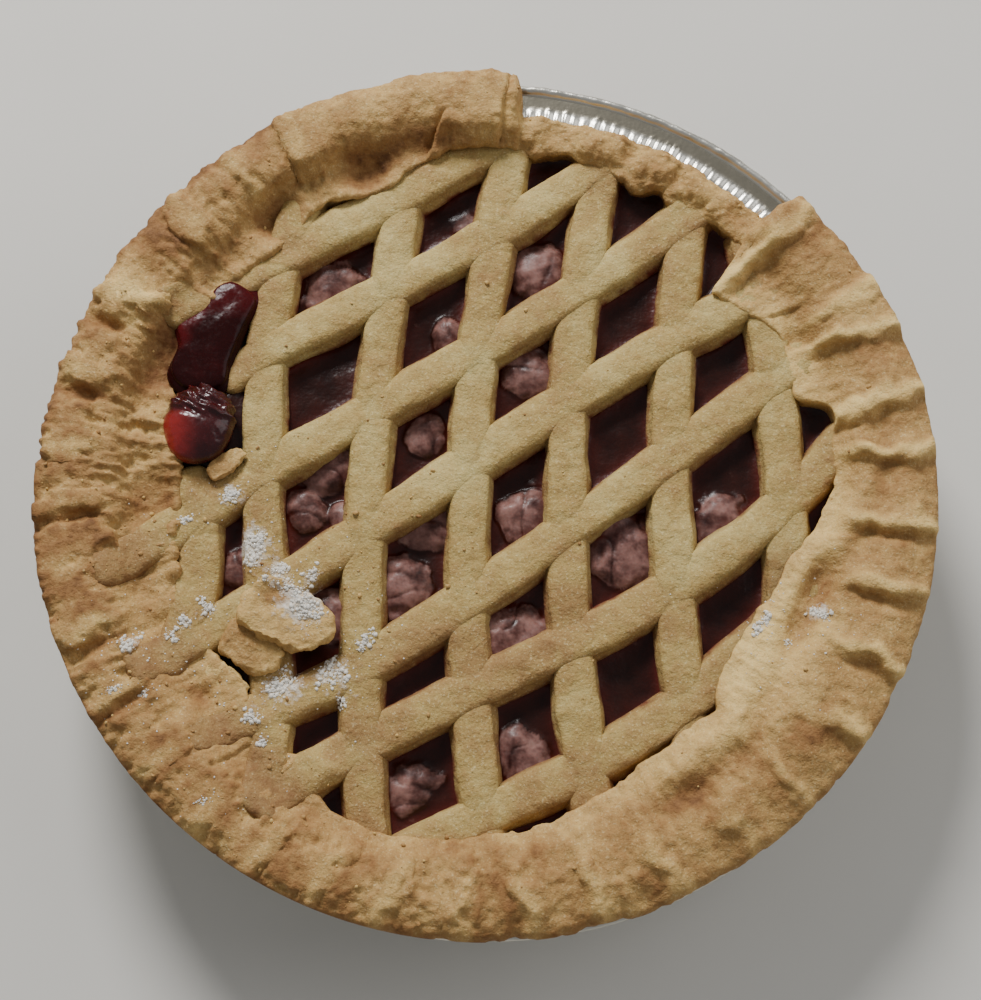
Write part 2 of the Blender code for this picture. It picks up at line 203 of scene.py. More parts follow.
# a material on the Principled shader, with short ways to add and link its nodes
class Finish:
    # the material, its shader, and places in the piece's own coordinates for the noises
    def __init__(self, name):
        self.material = bpy.data.materials.new(name)
        self.material.use_nodes = True
        self.tree = self.material.node_tree
        self.shader = self.tree.nodes["Principled BSDF"]
        self.place = self.add("ShaderNodeTexCoord").outputs["Object"]

    # new node of that kind, with its inputs linked or set
    def add(self, kind, inputs=None, **settings):
        made = self.tree.nodes.new(kind)
        for key, value in settings.items():
            setattr(made, key, value)
        for key, value in (inputs or {}).items():
            self.set(made.inputs[key], value)
        return made

    # link a node's output, or set a plain value; colours are given as on screen
    def set(self, socket, value):
        if isinstance(value, bpy.types.NodeSocket):
            self.tree.links.new(value, socket)
        else:
            socket.default_value = paint(*value) if socket.type == "RGBA" else value

    # plain numbers go on the shader's own sockets, patterns are linked
    def shade(self, **inputs):
        for key, value in inputs.items():
            self.set(self.shader.inputs[key.replace("_", " ")], value)

    # noise with features of that many millimetres
    def noise(self, size, detail=3.0, roughness=0.55):
        inputs = {"Vector": self.place, "Scale": 1.0 / (size * mm), "Detail": detail, "Roughness": roughness}
        return self.add("ShaderNodeTexNoise", inputs).outputs["Fac"]

    # arithmetic on two or three values
    def math(self, operation, a, b=0.0, c=0.0, clamp=False):
        made = self.add("ShaderNodeMath", operation=operation, use_clamp=clamp)
        for socket, value in zip(made.inputs, (a, b, c)):
            self.set(socket, value)
        return made.outputs[0]

    # value kept at the mesh's vertices
    def value(self, key):
        return self.add("ShaderNodeAttribute", attribute_name=key).outputs["Fac"]

    # value moved from one range to another, held at its ends
    def spread(self, value, low, high, toLow=0.0, toHigh=1.0):
        inputs = {"Value": value, "From Min": low, "From Max": high, "To Min": toLow, "To Max": toHigh}
        return self.add("ShaderNodeMapRange", inputs).outputs["Result"]

    # colours at their places from 0 to 1, blended between
    def ramp(self, value, stops):
        made = self.add("ShaderNodeValToRGB", {"Fac": value})
        band = made.color_ramp
        while len(band.elements) < len(stops):
            band.elements.new(0.5)
        for element, (place, colour) in zip(band.elements, stops):
            element.position, element.color = place, paint(*colour)
        return made.outputs["Color"]

    # colour a, turning to b with the share
    def mix(self, share, a, b):
        made = self.add("ShaderNodeMix", data_type="RGBA")
        self.set(made.inputs[0], share)
        self.set(made.inputs[6], a)
        self.set(made.inputs[7], b)
        return made.outputs[2]

    # stacked bumps: (height, depth in millimetres), coarse to fine
    def bumps(self, *layers):
        normal = None
        for height, depth in layers:
            inputs = {"Height": height, "Distance": depth * mm, "Strength": 1.0}
            if normal:
                inputs["Normal"] = normal
            normal = self.add("ShaderNodeBump", inputs).outputs["Normal"]
        return normal


pastry = {
    # from raw to burnt, on the rim and on the strips
    "rimColours": ((231, 197, 126), (207, 171, 106), (180, 142, 86), (146, 104, 60), (84, 50, 30)),
    "stripColours": ((192, 169, 108), (175, 147, 88), (160, 126, 77), (134, 97, 59), (84, 52, 32)),
    "bakePlaces": (0.0, 0.25, 0.5, 0.78, 1.0),
    "flourColour": (238, 233, 224), "fleckColour": (236, 218, 170), "pitColour": (110, 74, 40),
    "jellyStain": (98, 34, 24),
    # sizes in mm, and how far each pattern moves the baking value
    "patchSize": 11.0, "clumpSize": 3.6, "grainSize": 1.6, "poreSize": 0.55,
    "patchStrength": 0.34, "clumpStrength": 0.36, "grainStrength": 0.40,
    "clumpDepth": 0.5, "grainDepth": 0.42, "poreDepth": 0.16,
}


# baked dough: a ramp from raw to dark over the baking value, which on the rim, strips and scrap also carries
# painted shade and painted highlights, broken up by patches, grain and specks
def pastryFinish(name, colours, grain=1.0, stained=False):
    f = Finish(name)
    patch, clump = f.noise(pastry["patchSize"], 2.0), f.noise(pastry["clumpSize"], 3.0)
    speck, pore = f.noise(pastry["grainSize"], 4.0, 0.65), f.noise(pastry["poreSize"], 2.0, 0.6)
    shadedBake = f.value("bakeAndShading")
    for pattern, strength in ((patch, pastry["patchStrength"]), (clump, pastry["clumpStrength"]),
                              (speck, pastry["grainStrength"] * grain)):
        shadedBake = f.math("MULTIPLY_ADD", pattern, strength, f.math("ADD", shadedBake, -0.5 * strength))
    colour = f.ramp(shadedBake, list(zip(pastry["bakePlaces"], colours)))
    fleck = f.math("MULTIPLY", f.spread(pore, 0.58, 0.70, 0.0, 0.36), f.spread(shadedBake, 0.75, 0.5))
    colour = f.mix(fleck, colour, pastry["fleckColour"])
    pit = f.spread(pore, 0.40, 0.30, 0.0, 0.35)
    colour = f.mix(pit, colour, pastry["pitColour"])
    if stained:
        stain = f.math("MULTIPLY", f.value("stain"), f.spread(clump, 0.35, 0.62, 0.4, 1.0))
        colour = f.mix(stain, colour, pastry["jellyStain"])
    powder = f.math("ADD", f.value("dust"), f.math("MULTIPLY_ADD", speck, 1.3, -1.0))
    colour = f.mix(f.spread(powder, 0.05, 0.5), colour, pastry["flourColour"])
    relief = f.bumps((clump, pastry["clumpDepth"] * grain), (speck, pastry["grainDepth"] * grain),
                     (pore, pastry["poreDepth"]))
    f.shade(Base_Color=colour, Roughness=f.spread(speck, 0.3, 0.7, 0.66, 0.88), Specular_IOR_Level=0.3,
            Subsurface_Weight=0.08, Subsurface_Radius=(1.0, 0.55, 0.3), Subsurface_Scale=1.6 * mm,
            Normal=relief)
    return f.material


# sizes in mm; flutes are counted round the wall
foil = {
    "baseRadius": 78.0, "wallRadius": 92.2, "rimRadius": 102.0, "flangeHeight": 28.5, "thickness": 0.45,
    "beadRadius": 0.95, "corner": 2.2, "flutes": 262, "fluteDepth": 0.36, "flangeFlute": 0.55,
    "columns": 1310, "crumple": 0.22, "baseRings": (30.0, 52.0, 70.0), "baseRingDepth": 0.35,
    # the last colour is painted shade for the flat of the flange
    "brightColours": ((0.3, (196, 192, 180)), (0.7, (232, 228, 218))), "flangeShadeColour": (172, 164, 146),
}


# turned profile (radius, height) carried round the axis; narrow flutes |sin(n a / 2 + slow noise)|^1.4
# push the wall in and run a little way on to the flange, and the bead has small crinkles
def makeFoil():
    low, thick, rim = foil["flangeHeight"], foil["thickness"], foil["rimRadius"]
    base, wall = foil["baseRadius"], foil["wallRadius"]
    turn = np.linspace(-0.5 * math.pi, 0.0, 6)
    corner = [(base - foil["corner"] * (1 - math.cos(a)) - 0.4, foil["corner"] * 0.62 * (1 + math.sin(a)))
              for a in turn]
    rise = np.linspace(0.0, 1.0, 17)[1:]
    start = corner[-1]
    side = [(start[0] + (wall + thick - 0.5 - start[0]) * t, start[1] + (low - 1.1 - start[1]) * t)
            for t in rise]
    shoulder = [(wall + thick - 0.1, low - 0.45), (wall + thick + 0.5, low - 0.1),
                (wall + thick + 1.3, low)]
    under = [(r, low) for r in np.linspace(wall + 2.8, rim - 2.4, 5)]
    r = foil["beadRadius"]
    roll = [(rim - r + r * math.cos(a), low + 0.55 + r * math.sin(a))
            for a in np.radians(np.linspace(-150, 165, 13))]
    flat = [(x, low + thick) for x in np.linspace(rim - 2.3, wall + 2.6, 9)]
    inside = [(wall + 1.5, low + thick), (wall + 0.9, low + thick - 0.05), (wall + 0.4, low + thick - 0.3),
              (wall, low - 0.3), (base + 3.0, 6.0), (base - 0.8, 1.6), (base - 2.2, thick)]
    floor = [(x, 0.0) for x in np.linspace(6.0, base - foil["corner"] - 1.2, 16)]
    profile = np.array(floor + corner + side + shoulder + under + roll + flat + inside)
    azimuth = np.linspace(0.0, 360.0, foil["columns"], endpoint=False)
    radius = np.repeat(profile[:, :1], len(azimuth), axis=1)
    height = np.repeat(profile[:, 1:], len(azimuth), axis=1)
    ring = placed(90.0, azimuth, 0.0)
    phase = foil["flutes"] * np.radians(azimuth) + 2.2 * softNoise(ring, 7.0, 11)
    strength = 1.0 + 0.45 * softNoise(ring, 4.0, 12)
    flute = np.abs(np.sin(0.5 * phase)) ** 1.4 * strength
    upWall = ease((height - 1.2) / 6.0) * ease((wall + 1.6 - radius) / 2.6)
    reach = wall + 4.2 + 0.9 * softNoise(ring, 2.4, 18)
    onFlange = ease((reach - radius) / 1.8) * ease((radius - wall + 1.0) / 1.2)
    moved = radius - foil["fluteDepth"] * upWall * (0.6 + 0.4 * height / low) * flute
    raised = height + foil["flangeFlute"] * onFlange * flute
    bead = ease((radius - rim + 2.6) / 0.8)
    place = placed(radius, azimuth, height)
    moved += bead * (0.16 * softNoise(place, 1.5, 13) + 0.12 * softNoise(place, 5.0, 14) - 0.34)
    raised += bead * 0.14 * softNoise(place, 1.8, 15) + foil["crumple"] * upWall * softNoise(place, 9.0, 16)
    moved += foil["crumple"] * upWall * softNoise(place, 6.0, 17)
    plate = ease((base - 4.0 - radius) / 2.0) * (height < 0.1)
    for ringAt in foil["baseRings"]:
        raised += plate * foil["baseRingDepth"] * np.exp(-((radius - ringAt) / 1.4) ** 2)
    points = placed(moved, azimuth, raised)
    f = Finish("foil")
    crease, grain = f.noise(2.4, 4.0, 0.6), f.noise(0.7, 2.0)
    tone = f.ramp(f.noise(14.0, 3.0), foil["brightColours"])
    # painted shade: the flat of the flange is mixed towards a darker grey, standing in for the dark
    # reflection it shows
    tone = f.mix(f.value("flangeShade"), tone, foil["flangeShadeColour"])
    crease = f.math("MULTIPLY", crease, f.math("SUBTRACT", 1.0, f.math("MULTIPLY", f.value("flangeShade"), 0.75)))
    f.shade(Base_Color=tone, Metallic=1.0, Roughness=f.spread(crease, 0.0, 0.7, 0.2, 0.4),
            Normal=f.bumps((crease, 0.16), (grain, 0.03)))
    # mask of the painted shade: 1 on the flat of the flange, between the flutes' reach and the bead
    flangeShade = ease((radius - wall - 3.2) / 1.0) * ease((rim - 2.2 - radius) / 0.8) * (height > low + 0.2)
    made = addShell("foil_tin_dressed", points, "foil", f.material, {"flangeShade": flangeShade}, (0, 0, 0), (0, 0, thick))
    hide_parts("foil_tin")


makeFoil()
print("foil tin made")


# outer, inner and height stand every 20 degrees anticlockwise from +X; inner is the smooth line that
# the section is measured from, and edge is where the dough ends
rim = {
    "outer": (102.5, 102.9, 101.2, 101.4, 101.8, 102.3, 101.6, 101.4, 100.6,
              101.6, 102.8, 102.2, 102.8, 101.6, 101.4, 101.2, 101.6, 101.8),
    "inner": (80.5, 82.0, 84.0, 84.0, 84.0, 85.0, 86.5, 83.5, 85.0,
              82.0, 82.5, 81.0, 84.0, 82.0, 78.0, 73.5, 71.8, 74.0),
    "height": (37.0, 37.4, 37.6, 37.6, 37.8, 38.2, 38.2, 37.8, 37.8,
               38.0, 38.2, 38.2, 38.0, 37.6, 37.4, 37.2, 37.0, 37.0),
    # bearing and radius of the inner edge; it steps in and out where the strips go under
    "edge": ((0, 79.5), (4.5, 80), (8, 81), (12, 81.5), (13.6, 80.5), (15, 75), (18, 75), (23, 76),
             (28, 77.5), (31, 76), (34, 74), (38, 72), (40, 71), (41.6, 70), (42.3, 75), (42.7, 84),
             (49.5, 84.5), (50.5, 83.5), (57, 83), (57.8, 81.5), (59, 84), (61.5, 84.5), (62.6, 82),
             (64, 81), (65.5, 83), (75, 83.5), (75.8, 84.5), (80, 84), (82.3, 82), (83.5, 83.5),
             (90, 84), (96, 83.5), (98, 82), (103, 80.5), (106, 77.5), (112, 77), (116, 78.5),
             (119, 79.5), (122, 78.5), (125, 77), (131, 76.5), (134, 77), (138, 77.5), (143, 77.5),
             (147, 78), (150, 78.5), (155, 78.5), (160, 77), (166, 75), (172, 73), (175, 70.5),
             (186, 70.5), (192, 72.5), (203, 74.5), (210, 74), (214, 72), (222, 72), (226, 76),
             (234, 77), (236, 74), (238, 78), (245, 82.5), (260, 82), (280, 78), (300, 72.5),
             (309, 72), (311, 73), (313.6, 73.8), (314.5, 72), (317, 69.5), (320, 68), (326, 67),
             (333, 67.3), (338, 69.3), (345, 70.5), (348, 72.5), (351, 75.3), (355, 77.2)),
    # share of the way in from the outer edge, and the drop below the crest there
    "topShares": (0.0, 0.09, 0.28, 0.58, 0.82, 1.0, 1.3), "topDrops": (2.4, 1.5, 0.0, 0.4, 2.1, 4.9, 5.6),
    "breakFrom": 42.5, "breakTo": 86.0, "breakEase": 2.0, "breakOuter": 92.4, "breakHeight": 33.2,
    "breakDrops": (3.4, 1.2, 0.2, 0.0, 0.4, 1.5, 3.0),
    "ledgeHeight": 25.0, "ledgeRadius": 78.0, "ledgeShift": 4.0,
    "flapFrom": 297.0, "flapTo": 352.0, "flapEase": 4.0, "flapHeight": 32.3, "flapOverhang": 3.5,
    "flapRise": 1.6,
    "lipFrom": 293.0, "lipTo": 372.0, "lipHeight": 1.2, "lipValley": -1.0,
}

# crests where one pleat lies over the next: bearing, height, steep side (1 clockwise, -1 the other
# way), innermost radius, degrees that the crest leans on its way in
ridges = (
    (3.0, 1.9, 1, 80, 0.8), (12.1, 2.1, 1, 76, -2.2), (21.3, 1.9, 1, 80, 1.2),
    (27.3, 1.7, -1, 80, -1.5), (40.6, 2.0, 1, 70, -1.0), (118.8, 1.0, -1, 88, 0),
    (128.0, 0.9, -1, 88, 0), (137.3, 1.6, -1, 86, 2.2), (153.5, 1.9, -1, 81, -5.0),
    (164.8, 1.2, -1, 88, 0), (175.5, 1.0, -1, 88, 0), (183.8, 1.0, -1, 86, 0),
    (192.5, 0.8, -1, 89, 0), (201.2, 1.3, -1, 88, 0), (211.5, 1.0, -1, 88, 0),
    (221.3, 1.1, -1, 88, 0), (231.0, 0.9, -1, 90, 0), (239.4, 1.1, -1, 86, 1.0),
    (248.0, 1.3, -1, 86, 1.0), (257.0, 1.2, -1, 86, 1.5), (266.0, 1.2, -1, 86, 1.0),
    (275.0, 1.2, 1, 86, -1.0), (284.5, 1.3, 1, 86, -1.5), (294.0, 1.2, 1, 86, -1.5),
    (303.5, 0.9, 1, 88, 0), (313.5, 1.3, 1, 86, 0), (323.8, 1.7, 1, 84, -0.5),
    (333.8, 1.8, 1, 84, -0.6), (344.0, 1.9, 1, 83, -1.0), (353.4, 2.0, 1, 80, -0.8),
)

# creases where one sheet of dough lies over the next: bearing and radius of both ends, step in mm
# (raised on the right of the way from the first end to the second, or on the left if negative),
# and how far back the step dies away
folds = (
    (96.0, 90.5, 99.5, 82.0, -2.2, 5.0), (119.4, 102.0, 120.6, 86.0, -1.9, 5.0),
    (136.5, 99.0, 135.0, 88.0, 0.7, 4.0), (153.5, 98.0, 148.0, 81.0, 0.9, 5.0),
    (86.5, 102.0, 88.0, 84.0, 1.6, 6.0), (181.5, 99.0, 181.5, 85.0, 0.7, 2.5),
    (187.0, 71.0, 190.0, 77.0, -1.2, 4.0), (195.0, 70.0, 200.0, 77.0, 0.8, 4.0),
    (228.5, 79.0, 227.5, 86.0, 0.9, 3.0), (235.5, 76.0, 235.0, 88.0, -0.9, 3.0),
    (316.5, 82.2, 321.5, 84.0, 1.0, 3.5), (31.0, 77.0, 30.0, 84.0, -0.8, 3.0),
)

# soft dents (-) and swellings (+) of the rim: bearing, radius, half length round, half width out, mm
dents = (
    (159.0, 80.0, 9.0, 5.0, -2.6), (183.0, 76.0, 7.0, 5.5, -2.4), (167.4, 94.5, 1.8, 5.5, -2.2),
    (157.0, 95.0, 1.8, 5.0, -2.1), (185.2, 92.5, 2.0, 5.0, -2.2), (145.0, 94.0, 7.0, 5.0, -0.8),
    (195.0, 80.0, 7.0, 7.0, -0.9), (204.0, 94.0, 1.6, 6.0, -1.5), (213.0, 95.0, 1.6, 6.0, -1.5),
    (110.0, 82.5, 5.8, 5.4, -3.2), (127.0, 82.5, 5.6, 5.4, -3.4), (127.5, 87.0, 2.4, 2.4, 1.6),
    (116.8, 88.0, 4.0, 4.0, 1.2), (123.2, 96.0, 4.5, 5.0, -0.9), (147.5, 90.0, 3.0, 5.0, -0.8),
    (92.0, 86.5, 5.0, 4.0, 0.9), (101.5, 88.0, 4.0, 4.0, -0.6), (237.5, 79.0, 1.5, 6.0, -1.5),
    (217.5, 80.0, 3.2, 2.4, -1.0), (302.5, 85.0, 3.4, 6.0, -1.2), (318.8, 92.0, 5.0, 5.0, 1.3),
    (304.5, 89.0, 5.5, 5.0, 1.1), (336.5, 77.0, 10.0, 3.2, -3.0), (342.0, 78.5, 5.0, 2.6, -2.0),
    (25.5, 80.0, 2.4, 3.2, -1.6), (326.5, 84.0, 8.0, 4.5, 1.3),
    (332.0, 93.0, 1.6, 5.0, -0.9), (341.5, 92.0, 1.6, 6.0, -0.9), (351.3, 92.0, 1.6, 6.0, -0.9),
    (47.0, 87.5, 4.0, 2.6, -1.1), (53.5, 88.0, 4.4, 2.8, 0.7), (58.5, 87.5, 2.0, 2.6, -1.0),
    (61.5, 88.0, 2.0, 2.6, 0.6), (67.0, 87.5, 1.8, 2.6, -1.0), (72.0, 88.0, 4.0, 2.8, 0.7),
    (78.5, 87.5, 3.6, 2.8, -1.2), (83.5, 88.5, 2.4, 3.0, 0.6),
)

crust = {
    "columns": 1280, "edgeRows": 12, "topRows": 44, "stainedRows": 6,
    # radius and height up the outside wall, to where the rim starts to stand out over the tin
    "wall": ((76.1, 0.8), (77.0, 1.7), (91.8, 28.2), (92.6, 29.3)),
    "roofHeight": 30.35, "floorHeight": 3.85, "floorRadius": 72.5,
    # the rim goes no further out than reach and is flattened off above roundedFrom
    "reach": 101.9, "roundedFrom": 38.9,
    "mostBake": 0.80, "insideBake": 0.45,
    # darkened patches: bearing, half width in degrees, radius, half depth, amount; the one at 97 degrees is
    # painted shade in the hollow under the roll's overhang
    "darkened": ((311.0, 15.0, 91.0, 5.5, 0.16), (97.0, 9.0, 86.0, 3.5, 0.15)),
    # pale patches: bearing, half width in degrees, starting radius, distance of its growth, amount; the one
    # at 153 degrees is a painted highlight on the lit face of a fold
    "paleAndLit": ((328.0, 12.0, 89.0, -6.0, 0.10), (153.0, 7.0, 82.0, 6.0, 0.14)),
    # height of the crags in mm and bake, every 20 degrees anticlockwise from +X
    "crags": (0.30, 0.30, 0.40, 0.75, 0.65, 0.50, 0.70, 0.90, 1.30,
              1.60, 1.55, 1.35, 1.15, 0.85, 0.62, 0.48, 0.40, 0.34),
    "bakeAndShading": (0.36, 0.36, 0.38, 0.36, 0.42, 0.50, 0.52, 0.50, 0.44,
             0.50, 0.54, 0.54, 0.54, 0.53, 0.50, 0.46, 0.40, 0.37),
}


# 1 where the overhang has broken away, 0 elsewhere, eased at both ends
def breakAt(azimuth):
    return between(np.mod(azimuth, 360.0), rim["breakFrom"], rim["breakTo"], rim["breakEase"])


# 1 where the folded dough lies loosely over the strips, 0 elsewhere
def flapAt(azimuth):
    return between(np.mod(azimuth, 360.0), rim["flapFrom"], rim["flapTo"], rim["flapEase"])


# outer edge of the rim, drawn in at the break
def rimOuter(azimuth):
    whole = around(rim["outer"], azimuth)
    return whole + (rim["breakOuter"] - whole) * breakAt(azimuth)


# inner edge of the folded dough: straight runs between its points, averaged over 1.6 degrees
def rimInner(azimuth):
    bearings, radii = np.transpose(rim["edge"]).astype(float)
    nearby = [np.interp(azimuth + k, bearings, radii, period=360.0) for k in (-0.8, -0.4, 0, 0.4, 0.8)]
    return np.mean(nearby, axis=0)


# radius at which the shell's wall starts, just under the jelly: the least of three lines
def brinkAt(azimuth):
    circleEdge = rim["ledgeRadius"] + rim["ledgeShift"] * np.cos(np.radians(azimuth))
    return np.minimum(np.minimum(around(rim["inner"], azimuth) - 1.5, circleEdge), rimInner(azimuth) - 0.8)


# height of the rim's top: its crest less a drop that grows towards both edges; flatter at the break
def rimTop(azimuth, radius):
    crest = around(rim["height"], azimuth)
    crest = crest + (rim["breakHeight"] - crest) * breakAt(azimuth)
    outer, inner = rimOuter(azimuth), around(rim["inner"], azimuth)
    share, broken = (outer - radius) / (outer - inner), breakAt(azimuth)
    drop = curveThrough(rim["topShares"], rim["topDrops"], share)
    drop = drop + broken * (curveThrough(rim["topShares"], rim["breakDrops"], share) - drop)
    return crest - drop + rim["flapRise"] * flapAt(azimuth) * ease((share - 0.45) / 0.5)


# sum of the crests: with u in degrees from a crest towards its steep side the height falls to a
# trough within 2 degrees and recovers over 8; on the other side it dies away over 1.9 and 7.
# With it comes how near each place is to a crest, exp(-((u + 0.25) / 0.8)^2)
def ridgeRelief(azimuth, radius):
    plan = placed(radius, azimuth, 0.0)
    wander = 1.0 * softNoise(plan, 6.0, 20) + 0.5 * softNoise(plan, 2.6, 19)
    total, line = np.zeros(np.shape(radius)), np.zeros(np.shape(radius))
    for at, tall, side, inmost, lean in ridges:
        crest = at + lean * np.clip((100.0 - radius) / (100.0 - inmost), 0.0, 1.0)
        u = -side * bearingFrom(azimuth + wander, crest)
        fall = ease(u / 2.0)
        steep = 1.0 - fall - 0.32 * fall * (1.0 - ease((u - 2.0) / 8.0))
        slow = 0.65 * (1.0 - ease(-u / 1.9)) + 0.35 * (1.0 - ease(-u / 7.0))
        uneven = 1.0 + 0.35 * softNoise(plan + 31.0 * at, 8.0, 24)
        there = ease((radius - inmost + 3.0) / 9.0)
        total += tall * uneven * np.where(u > 0, steep, slow) * there
        line = np.maximum(line, np.exp(-((u + 0.25) / 0.8) ** 2) * there * min(tall / 1.6, 1.0) * uneven)
    return total, line


# step along each crease, raised on one side and dying away exp(-distance / reach)
def foldRelief(azimuth, radius):
    x, y = radius * np.cos(np.radians(azimuth)), radius * np.sin(np.radians(azimuth))
    total = np.zeros(np.shape(x))
    for a1, r1, a2, r2, step, reach in folds:
        start = np.array((r1 * math.cos(math.radians(a1)), r1 * math.sin(math.radians(a1))))
        end = np.array((r2 * math.cos(math.radians(a2)), r2 * math.sin(math.radians(a2))))
        length = np.linalg.norm(end - start)
        along = ((x - start[0]) * (end[0] - start[0]) + (y - start[1]) * (end[1] - start[1])) / length
        aside = ((x - start[0]) * (end[1] - start[1]) - (y - start[1]) * (end[0] - start[0])) / length
        aside = aside * math.copysign(1.0, step)
        ends = between(along, -1.5, length + 1.5, 3.0)
        raised = ease((aside + 0.35) / 0.9) * np.exp(-np.maximum(aside, 0.0) / reach)
        sunk = 0.35 * np.exp(-(np.minimum(aside, 0.0) / 1.6) ** 2) * (aside < 0)
        total += abs(step) * ends * (raised - sunk)
    return total


# dents and swellings exp(-(u^2 + v^2)) in the rim's own directions
def dentRelief(azimuth, radius):
    total = np.zeros(np.shape(radius))
    for at, away, halfRound, halfOut, depth in dents:
        u = bearingFrom(azimuth, at) * away * math.pi / 180.0 / halfRound
        total += depth * np.exp(-(u ** 2 + ((radius - away) / halfOut) ** 2) ** 1.3)
    return total


# rounded lip along the inner edge and the valley behind it, exp(-(distance from the edge)^2)
def lipRelief(azimuth, radius, inner):
    turned = np.mod(azimuth - rim["lipFrom"], 360.0) + rim["lipFrom"]
    there = between(turned, rim["lipFrom"], rim["lipTo"], 6.0)
    ridge = rim["lipHeight"] * np.exp(-((radius - inner - 4.4) / 3.4) ** 2)
    return there * (ridge + rim["lipValley"] * np.exp(-((radius - inner - 11.0) / 2.8) ** 2))
